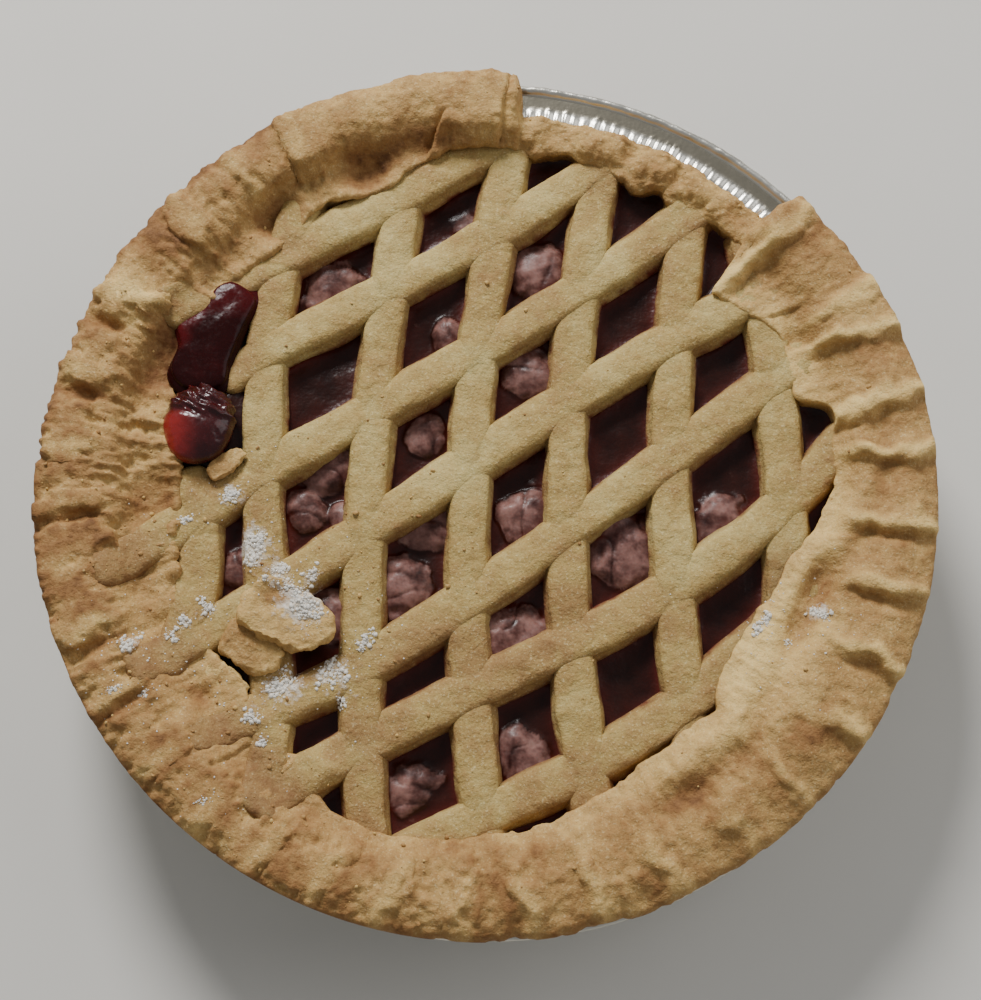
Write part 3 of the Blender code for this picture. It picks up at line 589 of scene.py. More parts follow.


# the section (radius, height) of the shell at every bearing: up the outside, round the thick edge,
# over the fold, down inside to the ledge and the floor; then the relief, and noise along the normals.
# The baking value is lower on crests and near the lattice, higher in troughs, dents and at the edge; on the
# crests it is partly a painted highlight, in the troughs partly and in the dents wholly painted shade
def makeCrust():
    azimuth = np.linspace(0.0, 360.0, crust["columns"], endpoint=False)
    circle = placed(90.0, azimuth, 0.0)
    outer = rimOuter(azimuth) + 0.55 * roughNoise(circle, 5.0, 3, 21)
    inner = rimInner(azimuth) + 0.5 * roughNoise(circle, 4.0, 2, 22)
    one = np.ones_like(azimuth)
    roof, ledge = crust["roofHeight"], rim["ledgeHeight"]
    rows = [(r * one, z * one) for r, z in crust["wall"]]
    under = rows[-1][0]
    rows.append((under + 0.6 * (outer - under), roof * one))
    edgeTop = rimTop(azimuth, outer - 0.6)
    # thick edge: half an ellipse from the roof under the overhang to the start of the top
    edgeRow = len(rows)
    for a in np.radians(np.linspace(-80.0, 62.0, crust["edgeRows"])):
        half = 0.5 * (edgeTop - roof)
        rows.append((outer - 1.5 + 1.5 * math.cos(a) ** 0.7, roof + half + half * math.sin(a)))
    topRow, edge = len(rows), rows[-1]
    for t in np.linspace(0.0, 1.0, crust["topRows"] + 1)[1:]:
        r = edge[0] + (inner - edge[0]) * t
        rows.append((r, rimTop(azimuth, r)))
    flap = flapAt(azimuth)
    lipRow, lip = len(rows) - 1, rows[-1][1]
    lipLow = ledge + (rim["flapHeight"] - ledge) * flap
    over = rim["flapOverhang"] * flap
    wallTop = lip - 0.5 * (lip - lipLow) * flap - 0.35 * (1 - flap)
    rows += [(inner - 0.35, wallTop), (inner + 0.2 + 0.25 * over, wallTop - 0.25 * (wallTop - lipLow)),
             (inner + 0.25 + 0.7 * over, lipLow + 0.5 * (1 - flap)),
             (inner + 0.3 + over, lipLow + 0.15 * (1 - flap)), (inner + 0.35 + over, ledge + 0.05 * one)]
    brink = np.minimum(brinkAt(azimuth), inner - 0.3)
    rows += [(brink + 0.6, ledge * one), (brink, ledge - 0.5 * one), (brink - 0.6, ledge - 2.0 * one),
             (crust["floorRadius"] * one - 0.5, crust["floorHeight"] * one)]
    radius, height = np.swapaxes(rows, 0, 1)
    turns = np.broadcast_to(azimuth, radius.shape)

    onTop = np.zeros((len(rows), 1))
    onTop[edgeRow:topRow, 0] = np.linspace(0.0, 1.0, topRow - edgeRow)
    onTop[topRow:lipRow + 1] = 1.0
    onTop[lipRow + 1:lipRow + 4, 0] = (0.8, 0.5, 0.2)
    shown = np.zeros((len(rows), 1))
    shown[4:lipRow + 7] = 1.0
    relief, crestLine = ridgeRelief(turns, radius)
    relief = relief * (1.0 - 0.35 * ease((radius - outer + 2.5) / 2.5)) + lipRelief(turns, radius, inner)
    dented = dentRelief(turns, radius)
    height = height + onTop * (relief + foldRelief(turns, radius) + dented)
    points = placed(radius, turns, height)

    laid = ease((90.0 - radius) / 6.0) * between(turns, 192.0, 262.0, 8.0)
    crag = around(crust["crags"], turns) * (1.0 - 0.6 * laid)
    smoothSpot = np.exp(np.minimum(dented, 0.0) * 0.7)
    swept = placed(90.0, turns, 0.35 * radius)
    wave = 0.30 * roughNoise(points, 8.0, 2, 31)
    rubble = 0.55 * roughNoise(points, 3.4, 3, 32) + 0.30 * crestNoise(points, 2.6, 2, 33)
    rubble = rubble + 0.62 * crestNoise(swept, 4.6, 3, 35)
    rubble = crag * smoothSpot * rubble
    crumb = (0.12 + 0.16 * crag) * roughNoise(points, 1.5, 2, 34)
    push = shown * (wave + rubble + crumb) * (0.35 + 0.65 * onTop)
    points = pushed(points, push)
    span = np.linalg.norm(points[..., :2], axis=-1)
    points[..., :2] *= (np.minimum(span, crust["reach"]) / np.maximum(span, 1.0))[..., None]
    most = crust["roundedFrom"]
    points[..., 2] = np.minimum(points[..., 2], most - 0.3 * np.exp(most - np.maximum(points[..., 2], most)))

    pleated = bumpAt(turns, 5.0, 44.0)
    bakeAndShading = around(crust["bakeAndShading"], turns) + 0.14 * pleated * ease((radius - 78.0) / 6.0)
    bakeAndShading += 0.15 * (rubble + wave)
    # crests paler and troughs browner: partly baking, partly a painted highlight along each crest and painted
    # shade in the trough below it
    bakeAndShading -= (0.16 + 0.18 * pleated) * crestLine + 0.08 * ease(relief / 1.4)
    bakeAndShading += (0.16 - 0.08 * pleated) * ease(-relief / 0.8)
    bakeAndShading += 0.11 * roughNoise(points, 9.0, 2, 37) * (1.0 - 0.5 * pleated)
    bakeAndShading += 0.20 * ease((radius - (outer - 2.4)) / 2.6) * np.minimum(crag, 1.0) * (1 - 0.4 * breakAt(turns))
    bakeAndShading -= 0.20 * ease((84.0 - radius) / 9.0)
    # darker patches; the one at 97 degrees is painted shade under the roll's overhang
    for bearing, half, at, deep, amount in crust["darkened"]:
        bakeAndShading += amount * bumpAt(turns, bearing, half) * np.exp(-((radius - at) / deep) ** 2)
    # paler patches; the one at 153 degrees is a painted highlight on a fold's lit face
    for bearing, half, start, over, amount in crust["paleAndLit"]:
        bakeAndShading -= amount * bumpAt(turns, bearing, half) * ease((radius - start) / over)
    bakeAndShading = np.minimum(bakeAndShading, crust["mostBake"])
    # painted shade: the dents are darkened, more so near the inner edge
    bakeAndShading -= (0.11 + 0.06 * ease((86.0 - radius) / 4.0)) * np.clip(dented, -1.9, 0.0)
    burntAt = 101.6 - 0.19 * np.clip(turns - 120.0, 0, 16)
    bakeAndShading += 0.16 * np.exp(-((radius - burntAt) / 0.9) ** 2) * bumpAt(turns, 128.0, 8.6)
    bakeAndShading[lipRow + 4:] = crust["insideBake"]
    x, y = points[..., 0], points[..., 1]
    low = ease((29.2 - points[..., 2] + 0.7 * softNoise(points, 4.0, 36)) / 2.4)
    low[:lipRow - crust["stainedRows"]] = 0.0
    stain = np.maximum(stainAt(x, y) * ease((34.0 - points[..., 2]) / 2.0), low)
    values = {"bakeAndShading": bakeAndShading, "dust": dustAt(x, y), "stain": stain}
    finish = pastryFinish("baked_pastry", pastry["rimColours"], 1.0, True)
    ends = (0, 0, crust["wall"][0][1]), (0, 0, crust["floorHeight"])
    piece = addShell("crust_dressed", points, "rim_pastry", finish, values, *ends)
    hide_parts("crust")
    return piece


# clumps of loose flour: x, y, half size, share of grains
flourClumps = (
    (-53.3, -14.0, 3.6, 1.0), (-58.2, -2.3, 2.8, 0.7), (-68.2, -8.6, 1.6, 0.6), (-47.5, -20.9, 2.6, 0.6),
    (-41.7, -28.9, 4.2, 1.0), (-45.2, -46.6, 3.9, 0.8), (-52.0, -53.6, 2.2, 0.5), (-79.1, -38.0, 2.2, 0.7),
    (-62.8, -28.9, 2.0, 0.6), (-67.1, -32.3, 1.7, 0.6), (-70.3, -35.7, 1.6, 0.5), (-74.2, -48.7, 1.4, 0.4),
    (-61.1, -72.1, 1.5, 0.5), (-33.6, -43.6, 3.6, 0.7), (-27.0, -36.8, 2.4, 0.5), (-31.2, -50.3, 1.8, 0.4),
    (59.5, -34.6, 1.4, 0.6), (61.8, -32.8, 1.5, 0.6), (73.6, -31.2, 1.9, 0.9), (66.0, -38.0, 1.0, 0.3),
    (-81.7, -48.0, 1.5, 0.5), (-49.6, -59.1, 1.6, 0.4), (-39.6, -20.9, 2.2, 0.4),
)


# dusting round each clump: sum of exp(-distance^2 / size^2)
def dustAt(x, y):
    total = np.zeros(np.shape(x))
    for atX, atY, size, share in flourClumps:
        total += 0.75 * share * np.exp(-((x - atX) ** 2 + (y - atY) ** 2) / (1.5 * size) ** 2)
    return np.minimum(total, 1.0)


# reddening of the pastry beside the jelly that has boiled over
def stainAt(x, y):
    near = np.exp(-(((x + 67.0) / 11.5) ** 2 + ((y - 32.0) / 17.0) ** 2) ** 2)
    beside = np.exp(-(((x - 64.0) / 9.0) ** 2 + ((y + 26.0) / 13.0) ** 2) ** 2)
    return 0.55 * near + 0.75 * beside


crustPiece = makeCrust()
print("crust made")


# each strip: offset, slope, bow, twist, start, end; its middle line is offset + slope s + bow s^2 +
# twist s^3, with s the way along it in units of 100 mm
lattice = {
    "steep": ((-67.2, -32.0, -100.0, 0.0, -44.0, 4.5), (-51.3, -5.7, 10.3, 19.1, -78.0, 86.0),
              (-27.3, 5.5, 8.3, 0.0, -88.0, 90.0), (-4.2, 4.1, 10.2, 0.0, -90.0, 87.5),
              (18.1, 3.1, 12.3, 0.0, -88.0, 83.0), (42.0, 2.3, 10.7, 0.0, -78.0, 73.5),
              (67.8, -0.5, -13.3, 0.0, -48.0, 64.0)),
    "shallow": ((84.1, 60.2, 4.3, 0.0, -76.0, 7.0), (60.9, 58.4, 21.7, 33.9, -62.5, 31.5),
                (33.6, 59.5, 8.7, 16.4, -88.0, 54.0), (7.8, 65.5, -4.8, -5.2, -80.0, 76.0),
                (-24.0, 68.3, 15.9, -14.1, -66.0, 84.0), (-45.9, 45.6, -0.3, 33.1, -54.0, 86.0),
                (-74.6, 45.8, -5.7, 55.7, -32.0, 78.0)),
    "steepHalf": 4.5, "shallowHalf": 4.75, "steepTop": 31.6, "shallowTop": 31.75, "shoulder": 2.0,
    "bottom": 25.4, "square": 0.72, "skirt": 1.6, "tilt": 0.40, "columns": 36, "step": 0.8,
    "climbFrom": 141.0, "climbTo": 246.0, "rightAt": 13.0, "rightHalf": 21.0, "climbOver": 1.3,
    "wave": 0.35, "grain": 0.14,
    # no strip reaches beyond a cone inside the tin: its radius at its foot, height of the foot,
    # gain of radius per mm of height, height of the cone
    "coneRadius": 79.9, "coneFoot": 6.0, "coneGain": 0.5, "coneTall": 21.6,
}


# middle line of a strip and its lean at a way along it
def stripLine(route, along):
    offset, slope, bow, twist = route[:4]
    s = along / 100.0
    return offset + s * (slope + s * (bow + s * twist)), (slope + s * (2.0 * bow + 3.0 * s * twist)) / 100.0


# pillow section carried along the strip's line: above the shoulder |x / a|^n + |z / b|^n = 1, below it
# a skirt that flares into the jelly; width, height and side wobble from noise; ends rounded off, on
# the left climbing with the rim, and nowhere beyond the tin's sloping wall
def stripRings(number, route, steep):
    start, end = route[4], route[5]
    along = np.linspace(start, end, int((end - start) / lattice["step"]))
    middle, lean = stripLine(route, along)
    line = np.stack([along, 0.0 * along + 37.0 * number, 0.0 * along + (5.0 if steep else 91.0)], axis=-1)
    half = lattice["steepHalf"] if steep else lattice["shallowHalf"]
    half = half * (1.0 + 0.08 * roughNoise(line, 13.0, 2, 41))
    middle = middle + 0.45 * softNoise(line, 17.0, 42)
    length = np.sqrt(1.0 + lean ** 2)
    turn = np.linspace(0.0, 2.0 * math.pi, lattice["columns"], endpoint=False)
    q = lattice["square"]
    w = np.sign(np.cos(turn)) * np.abs(np.cos(turn)) ** q
    h = np.sign(np.sin(turn)) * np.abs(np.sin(turn)) ** q
    top = lattice["steepTop"] if steep else lattice["shallowTop"]
    top = top + lattice["wave"] * roughNoise(line, 12.0, 2, 43)
    shoulder = top - lattice["shoulder"]
    toEnd = np.minimum(along - along[0], along[-1] - along)
    close = np.sqrt(1.0 - (1.0 - np.clip(toEnd / 3.0, 0.02, 1.0)) ** 2)[:, None]
    skirt = lattice["skirt"] * (1.0 + 0.4 * softNoise(line, 9.0, 44))
    wide = (half[:, None] * w + skirt[:, None] * w * ease(-h / 0.7)) * close
    depth = np.where(h > 0, lattice["shoulder"], (shoulder - lattice["bottom"])[:, None])
    height = shoulder[:, None] + depth * h * close
    if not steep:
        height = height + lattice["tilt"] * w * ease(h)
    if steep:
        x = middle[:, None] + wide / length[:, None]
        y = along[:, None] - wide * (lean / length)[:, None]
    else:
        x = along[:, None] + wide * (lean / length)[:, None]
        y = middle[:, None] - wide / length[:, None]
    radius, azimuth = np.hypot(x, y), np.degrees(np.arctan2(y, x))
    left = between(np.mod(azimuth, 360.0), lattice["climbFrom"], lattice["climbTo"], 5.0)
    aside = bearingFrom(azimuth, lattice["rightAt"])
    right = ease((lattice["rightHalf"] - np.abs(aside)) / 4.0)
    lift = np.maximum(rimTop(azimuth, radius) + lattice["climbOver"] * left - top[:, None], 0.0)
    lift *= left * ease((radius - 70.0) / 4.0) + right * ease((radius - 74.0) / 8.0)
    lift -= 3.2 * left * ease((radius - 88.5) / 5.0) + 3.2 * right * ease((radius - 79.0) / 8.0)
    lift -= 4.5 * breakAt(azimuth) * ease((radius - 85.5) / 4.5)
    z = height + lift
    upCone = np.clip(z - lattice["coneFoot"], 0.0, lattice["coneTall"])
    limit = lattice["coneRadius"] + lattice["coneGain"] * upCone
    inward = np.minimum(1.0, limit / np.maximum(radius, 1.0))
    return np.stack([x * inward, y * inward, z], axis=-1)[:, ::-1]


# every strip as a closed shell of its own, laid across its neighbours, with noise along its normals
def makeLattice():
    points, normals, faces, count = [], [], [], 0
    for steep in (True, False):
        for number, route in enumerate(lattice["steep" if steep else "shallow"]):
            rings = stripRings(number, route, steep)
            outward = ringNormals(rings)
            shown = ease((rings[..., 2] - 27.0) / 1.5)
            push = 0.28 * roughNoise(rings, 6.5, 2, 51) + lattice["grain"] * roughNoise(rings, 2.2, 3, 52)
            push += 0.06 * softNoise(rings, 1.0, 53)
            rings = rings + outward * (shown * push)[..., None]
            shell, blocks = closedShell(rings)
            points.append(shell)
            normals.append(np.concatenate([outward.reshape(-1, 3), np.zeros((2, 3))]))
            faces += [block + count for block in blocks]
            count += len(shell)
    points, normals = np.concatenate(points), np.concatenate(normals)
    x, y, z = points.T
    azimuth, radius = np.degrees(np.arctan2(y, x)), np.hypot(x, y)
    toast = around(crust["bakeAndShading"], azimuth) - 0.04
    bakeAndShading = 0.22 + 0.21 * roughNoise(points, 14.0, 2, 54) + 0.11 * softNoise(points, 2.5, 56)
    bakeAndShading += 0.05 * roughNoise(points, 0.9, 2, 57)
    # sides browner: partly toasted cut edges, partly painted shade on the sides
    bakeAndShading += 0.24 * ease((0.55 - normals[:, 2]) / 0.8) * ease((z - 28.0) / 1.6)
    # painted shade: faces turned to the front, away from the key light, are darker
    bakeAndShading += 0.10 * ease(-normals[:, 1] / 0.35)
    bakeAndShading += (toast - 0.2) * ease((radius - 72.0) / 14.0) * 0.9
    bakeAndShading += 0.12 * ease((-10.0 - y) / 30.0) + 0.06 * ease((-40.0 - x) / 25.0)
    wet = ease((29.2 - z + 0.6 * softNoise(points, 4.0, 55)) / 1.7)
    values = {"bakeAndShading": bakeAndShading, "dust": dustAt(x, y), "stain": np.maximum(wet, stainAt(x, y) * 0.6)}
    finish = pastryFinish("lattice_pastry", pastry["stripColours"], 1.1, True)
    piece = addPiece("lattice_dressed", points, faces, finish, values)
    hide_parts("lattice")
    return piece


latticePiece = makeLattice()
print("lattice made", len(latticePiece.data.polygons))


filling = {
    "level": 26.0, "bottom": 4.4, "climb": 0.4, "climbReach": 0.8, "columns": 600, "rings": 150,
    # fruit that shows: x, y, half width, height of its top
    "fruit": ((-36.5, 50.0, 8.4, 28.3), (-8.9, 37.5, 5.4, 27.6), (12.6, 53.0, 8.6, 28.6),
              (10.4, 27.5, 8.0, 28.7), (-35.4, 5.5, 8.6, 28.7), (-42.0, -4.5, 6.0, 28.2),
              (-33.0, -7.0, 5.5, 28.2), (-34.3, -29.5, 8.4, 28.2), (-19.0, -23.0, 8.6, 28.2),
              (31.0, -13.5, 11.5, 28.6), (53.5, -8.5, 8.6, 28.2), (6.3, -37.0, 11.0, 28.6),
              (10.0, -8.0, 9.0, 28.4), (-12.0, -8.0, 9.0, 28.2), (8.0, -62.0, 9.0, 28.0),
              (-55.0, -19.0, 6.5, 28.0), (-52.0, 45.0, 6.0, 27.6), (-17.0, -68.0, 8.0, 28.0),
              (35.0, -66.0, 8.0, 27.8), (-5.0, 66.0, 6.0, 26.7), (66.0, -30.0, 6.0, 27.2),
              (-14.0, 12.0, 7.0, 27.3)),
    # where it has boiled up between the strips: x, y, half widths, rise
    "boiled": ((-63.5, 15.5, 11.0, 12.5, 4.4), (-66.5, 36.0, 11.0, 15.0, 3.6)),
    # colours by the value of the noise
    "fleshColours": ((0.28, (62, 30, 28)), (0.48, (100, 66, 60)), (0.64, (132, 94, 86)),
                     (0.85, (160, 124, 112))),
    "syrupColours": ((0.3, (30, 12, 9)), (0.7, (50, 20, 14))), "edgeColour": (110, 36, 24),
}


# distance outside the nearest strip's edge in mm, negative under a strip
def clearOfStrips(x, y):
    nearest = np.full(np.shape(x), 1e3)
    for steep in (True, False):
        half = lattice["steepHalf"] if steep else lattice["shallowHalf"]
        for route in lattice["steep" if steep else "shallow"]:
            along, aside = (y, x) if steep else (x, y)
            middle, lean = stripLine(route, np.clip(along, route[4], route[5]))
            beyond = np.maximum(np.maximum(route[4] - along, along - route[5]), 0.0)
            off = np.abs(aside - middle) / np.sqrt(1 + lean ** 2)
            nearest = np.minimum(nearest, np.hypot(off, beyond) - half)
    return nearest


# dark syrup, redder where it climbs at the strips, and paler flesh where fruit shows in broken patches
def fillingFinish():
    f = Finish("cherry_filling")
    patch, fine = f.noise(5.0, 3.0, 0.6), f.noise(1.1, 3.0, 0.6)
    mottle = f.math("MULTIPLY_ADD", fine, 0.25, f.math("MULTIPLY", patch, 0.85))
    flesh, syrup = f.ramp(mottle, filling["fleshColours"]), f.ramp(patch, filling["syrupColours"])
    syrup = f.mix(f.math("MULTIPLY", f.value("edge"), 0.8), syrup, filling["edgeColour"])
    fleshy = f.math("MULTIPLY_ADD", patch, 2.0, f.math("ADD", f.value("fruit"), -1.0))
    share = f.spread(fleshy, 0.35, 1.1)
    f.shade(Base_Color=f.mix(share, syrup, flesh), Roughness=f.spread(share, 0.0, 1.0, 0.3, 0.45),
            Specular_IOR_Level=0.22, Coat_Weight=0.03, Coat_Roughness=0.1,
            Subsurface_Weight=0.15, Subsurface_Radius=(1.0, 0.25, 0.2), Subsurface_Scale=2.5 * mm,
            Normal=f.bumps((patch, 0.35), (fine, 0.05)))
    return f.material


# height of the jelly over rings shrunk from its edge: level with small waves, climbing
# exp(-distance) at the strips, joined by a soft maximum to squashed balls of fruit, high - 2.6 span^3,
# that are wrinkled and split
def makeFilling():
    turn = np.linspace(0.0, 2.0 * math.pi, filling["columns"], endpoint=False)
    share = np.linspace(1.0, 0.0, filling["rings"] + 1)[:-1, None]
    bearing = np.degrees(turn)
    shellEdge = np.minimum(rimInner(bearing) + 0.8, 86.0) + 3.0 * flapAt(bearing)
    brink = brinkAt(bearing) - 1.4
    x, y = share * shellEdge * np.cos(turn), share * shellEdge * np.sin(turn)
    flat = np.stack([x, y, 0.0 * x], axis=-1)
    jelly = filling["level"] + 0.35 * softNoise(flat, 11.0, 61) + 0.16 * softNoise(flat, 4.5, 62)
    away = np.maximum(clearOfStrips(x, y), 0.0)
    brim = np.maximum(shellEdge - share * shellEdge, 0.0)
    jelly += filling["climb"] * np.exp(-away / filling["climbReach"]) + 1.0 * np.exp(-brim / 1.5)
    boiled = np.zeros_like(jelly)
    for atX, atY, wide, deep, rise in filling["boiled"]:
        boiled = np.maximum(boiled, rise * np.exp(-(((x - atX) / wide) ** 2 + ((y - atY) / deep) ** 2) ** 2))
    jelly += boiled
    top, fruit = jelly.copy(), np.zeros_like(jelly)
    for k, (atX, atY, wide, high) in enumerate(filling["fruit"]):
        angle, shifted = 1.7 * k, flat + 50.0 * k
        u = ((x - atX) * math.cos(angle) + (y - atY) * math.sin(angle)) / wide
        v = ((y - atY) * math.cos(angle) - (x - atX) * math.sin(angle)) / (wide * 0.84)
        span = np.hypot(u, v) + 0.20 * roughNoise(shifted, 5.5, 3, 63)
        crack = np.exp(-(softNoise(shifted, 6.5, 65) / 0.07) ** 2)
        body = high - 2.6 * np.clip(span, 0, 1.6) ** 3 + 0.34 * roughNoise(shifted, 4.2, 2, 64) - 0.28 * crack
        over = body - top
        top = np.where(over > 0.5, body, np.where(over < -0.5, top, top + 0.5 * ease(over + 0.5)))
        fruit = np.maximum(fruit * ease((0.6 - over) / 0.6), ease((over + 0.1) / 0.7) * (1.0 - 0.4 * crack))
    bottom = filling["bottom"]
    under = [(70.0, bottom), (0.5 * (70.0 + brink) - 0.3, 14.0), (brink, 23.2), (brink + 1.5, 25.15),
             (shellEdge, 25.3)]
    under = np.array([placed(r, bearing, z) for r, z in under])
    rings = np.concatenate([under, np.stack([x, y, top], axis=-1)])
    blank = np.zeros((len(under), len(turn)))
    edge = np.exp(-away / 1.3) * ease(1.0 - boiled / 2.0)
    values = {"fruit": np.concatenate([blank, fruit]), "edge": np.concatenate([blank, edge])}
    ends = (0, 0, bottom), (0, 0, float(top[-1].mean()))
    piece = addShell("filling_dressed", rings, "cherry_filling", fillingFinish(), values, *ends)
    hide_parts("filling")
    return piece


fillingPiece = makeFilling()
print("filling made")


spill = {
    # outline of the puddle, anticlockwise
    "outlineX": (-57.3, -54.6, -53.7, -55.8, -59.1, -62.3, -64.2, -65.6, -67.9, -71.5, -70.9, -72.3,
                 -72.9, -71.1, -66.9, -60.8, -59.4),
    "outlineY": (36.1, 41.5, 44.8, 47.5, 49.3, 48.6, 46.5, 43.8, 41.3, 38.4, 34.0, 31.0, 27.8, 24.6, 22.5,
                 24.0, 29.6),
    "middle": (-64.5, 35.0), "level": 32.1, "above": 1.7, "below": 3.4, "flare": 0.55,
    "columns": 240, "rings": 46, "shine": 0.12, "deep": (40, 12, 12), "thinAndLit": (92, 22, 25),
}


# ball of half sizes (a, b, c) turned about the vertical: rings of latitude and longitude
def ballRings(at, size, turned, columns, rows):
    high = np.linspace(-0.5 * math.pi, 0.5 * math.pi, rows + 2)[1:-1][:, None]
    turn = np.linspace(0.0, 2.0 * math.pi, columns, endpoint=False)[None]
    x, y = size[0] * np.cos(high) * np.cos(turn), size[1] * np.cos(high) * np.sin(turn)
    z = size[2] * np.sin(high) + 0.0 * turn
    c, s = math.cos(math.radians(turned)), math.sin(math.radians(turned))
    return np.stack([at[0] + x * c + y * s, at[1] + y * c - x * s, at[2] + z], axis=-1)


# set jelly or skin: two reds mixed by noise and by a value that is partly thinness and partly painted light,
# a brighter red on the side the light shines through; light also passes into it
def jellyFinish(name, deep, thinAndLit, shine):
    f = Finish(name)
    patch, fine = f.noise(6.0, 3.0, 0.6), f.noise(0.9, 2.0)
    colour = f.mix(f.math("MULTIPLY_ADD", patch, 0.5, f.math("ADD", f.value("thinAndLit"), -0.25), clamp=True),
                   deep, thinAndLit)
    f.shade(Base_Color=colour, Roughness=f.spread(fine, 0.35, 0.65, 0.16, 0.3), Specular_IOR_Level=shine,
            Coat_Weight=0.25 * (shine - 0.1), Coat_Roughness=0.1, Subsurface_Weight=0.25,
            Subsurface_Radius=(1.0, 0.18, 0.12), Subsurface_Scale=3.0 * mm,
            Normal=f.bumps((patch, 0.35), (fine, 0.025)))
    return f.material


# puddle: outline times cos(angle)^0.8 and height above * sin(angle)^0.6, nearly flat on top, with a
# flared lower side and low swellings along the normals
def makeSpill():
    turn = np.linspace(0.0, 360.0, spill["columns"], endpoint=False)
    x, y = around(spill["outlineX"], turn), around(spill["outlineY"], turn)
    angle = np.linspace(-0.5 * math.pi, 0.5 * math.pi, spill["rings"] + 2)[1:-1][:, None]
    share = np.cos(angle) ** 0.8 * (1.0 + spill["flare"] * np.clip(-np.sin(angle), 0.0, 1.0))
    middle = spill["middle"]
    body = np.where(angle > 0, spill["above"] * np.abs(np.sin(angle)) ** 0.6, spill["below"] * np.sin(angle))
    rings = np.stack([middle[0] + (x - middle[0]) * share, middle[1] + (y - middle[1]) * share,
                      spill["level"] + body + 0.0 * x * share], axis=-1)
    push = 0.42 * softNoise(rings, 7.5, 71) + 0.08 * roughNoise(rings, 2.6, 2, 72)
    rings = pushed(rings, push)
    x, y = rings[..., 0], rings[..., 1]
    # redder towards the upper-left edge and the back: partly where the puddle is thin, partly painted light
    # shining through it on the side towards the key light
    thinAndLit = 0.75 * ease((share - 0.35) / 0.6) * ease((-60.0 - x) / 7.0) * ease((y - 31.0) / 5.0)
    thinAndLit = np.maximum(thinAndLit, 0.35 * ease((y - 38.0) / 6.0))
    finish = jellyFinish("cherry_jelly", spill["deep"], spill["thinAndLit"], spill["shine"])
    piece = addShell("jelly_spill_dressed", rings, "cherry_jelly", finish, {"thinAndLit": thinAndLit})
    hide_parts("jelly_spill")


cherry = {
    "at": (-65.8, 13.6, 33.0), "size": (8.0, 9.2, 4.9), "turned": 10.0, "columns": 260, "rows": 130,
    "wrinkle": 0.75, "shine": 0.42, "deep": (58, 14, 16), "thinAndLit": (150, 40, 37),
}


# squashed ball with its skin gathered in slanting wrinkles towards the back, and a crease across it
def makeCherry():
    rings = ballRings(cherry["at"], cherry["size"], cherry["turned"], cherry["columns"], cherry["rows"])
    x, y, z = np.moveaxis(rings, -1, 0)
    gathered = ease((y - 14.5 + 0.25 * (x + 66.0)) / 3.0) * ease((z - 31.0) / 2.0)
    slanted = np.stack([(x - 0.8 * y) * 0.45, (y + 0.6 * x) * 1.25, z * 0.3], axis=-1)
    folded = crestNoise(slanted, 2.0, 2, 81)
    push = 0.30 * softNoise(rings, 5.0, 82) + 0.05 * softNoise(rings, 1.2, 83)
    push += cherry["wrinkle"] * gathered * folded
    push -= 0.35 * np.exp(-((y - 15.6 + 0.25 * (x + 66.0)) / 1.2) ** 2) * ease((z - 32.0) / 2.0)
    rings = pushed(rings, push)
    # painted light: the left side is a brighter red, as if lit through the skin
    thinAndLit = ease((-64.0 - x) / 9.0) * ease((18.0 - y) / 5.0)
    finish = jellyFinish("cherry_skin", cherry["deep"], cherry["thinAndLit"], cherry["shine"])
    piece = addShell("cherry_dressed", rings, "cherry_skin", finish, {"thinAndLit": thinAndLit})
    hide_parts("cherry")


makeSpill()
makeCherry()
print("jelly and cherry made")


scraps = {
    # slab of pastry: x, y, underside, half length, half width, thickness, turn
    "scrap": (-44.4, -31.4, 32.3, 10.4, 6.5, 3.6, -24.0),
    # browned hollow in its top: x, y, half widths
    "hollow": (-46.5, -27.0, 4.4, 2.6),
    # smaller slabs, with the amount by which one end is browned
    "chips": ((-59.4, 4.8, 31.5, 4.6, 2.2, 1.3, 38.0, 0.9),
              (-52.2, -37.8, 31.0, 7.2, 5.2, 2.9, -38.0, 1.0),
              (-57.8, -44.8, 31.2, 5.2, 2.4, 1.7, -36.0, 0.1)),
    "columns": 160, "chipColumns": 72,
}


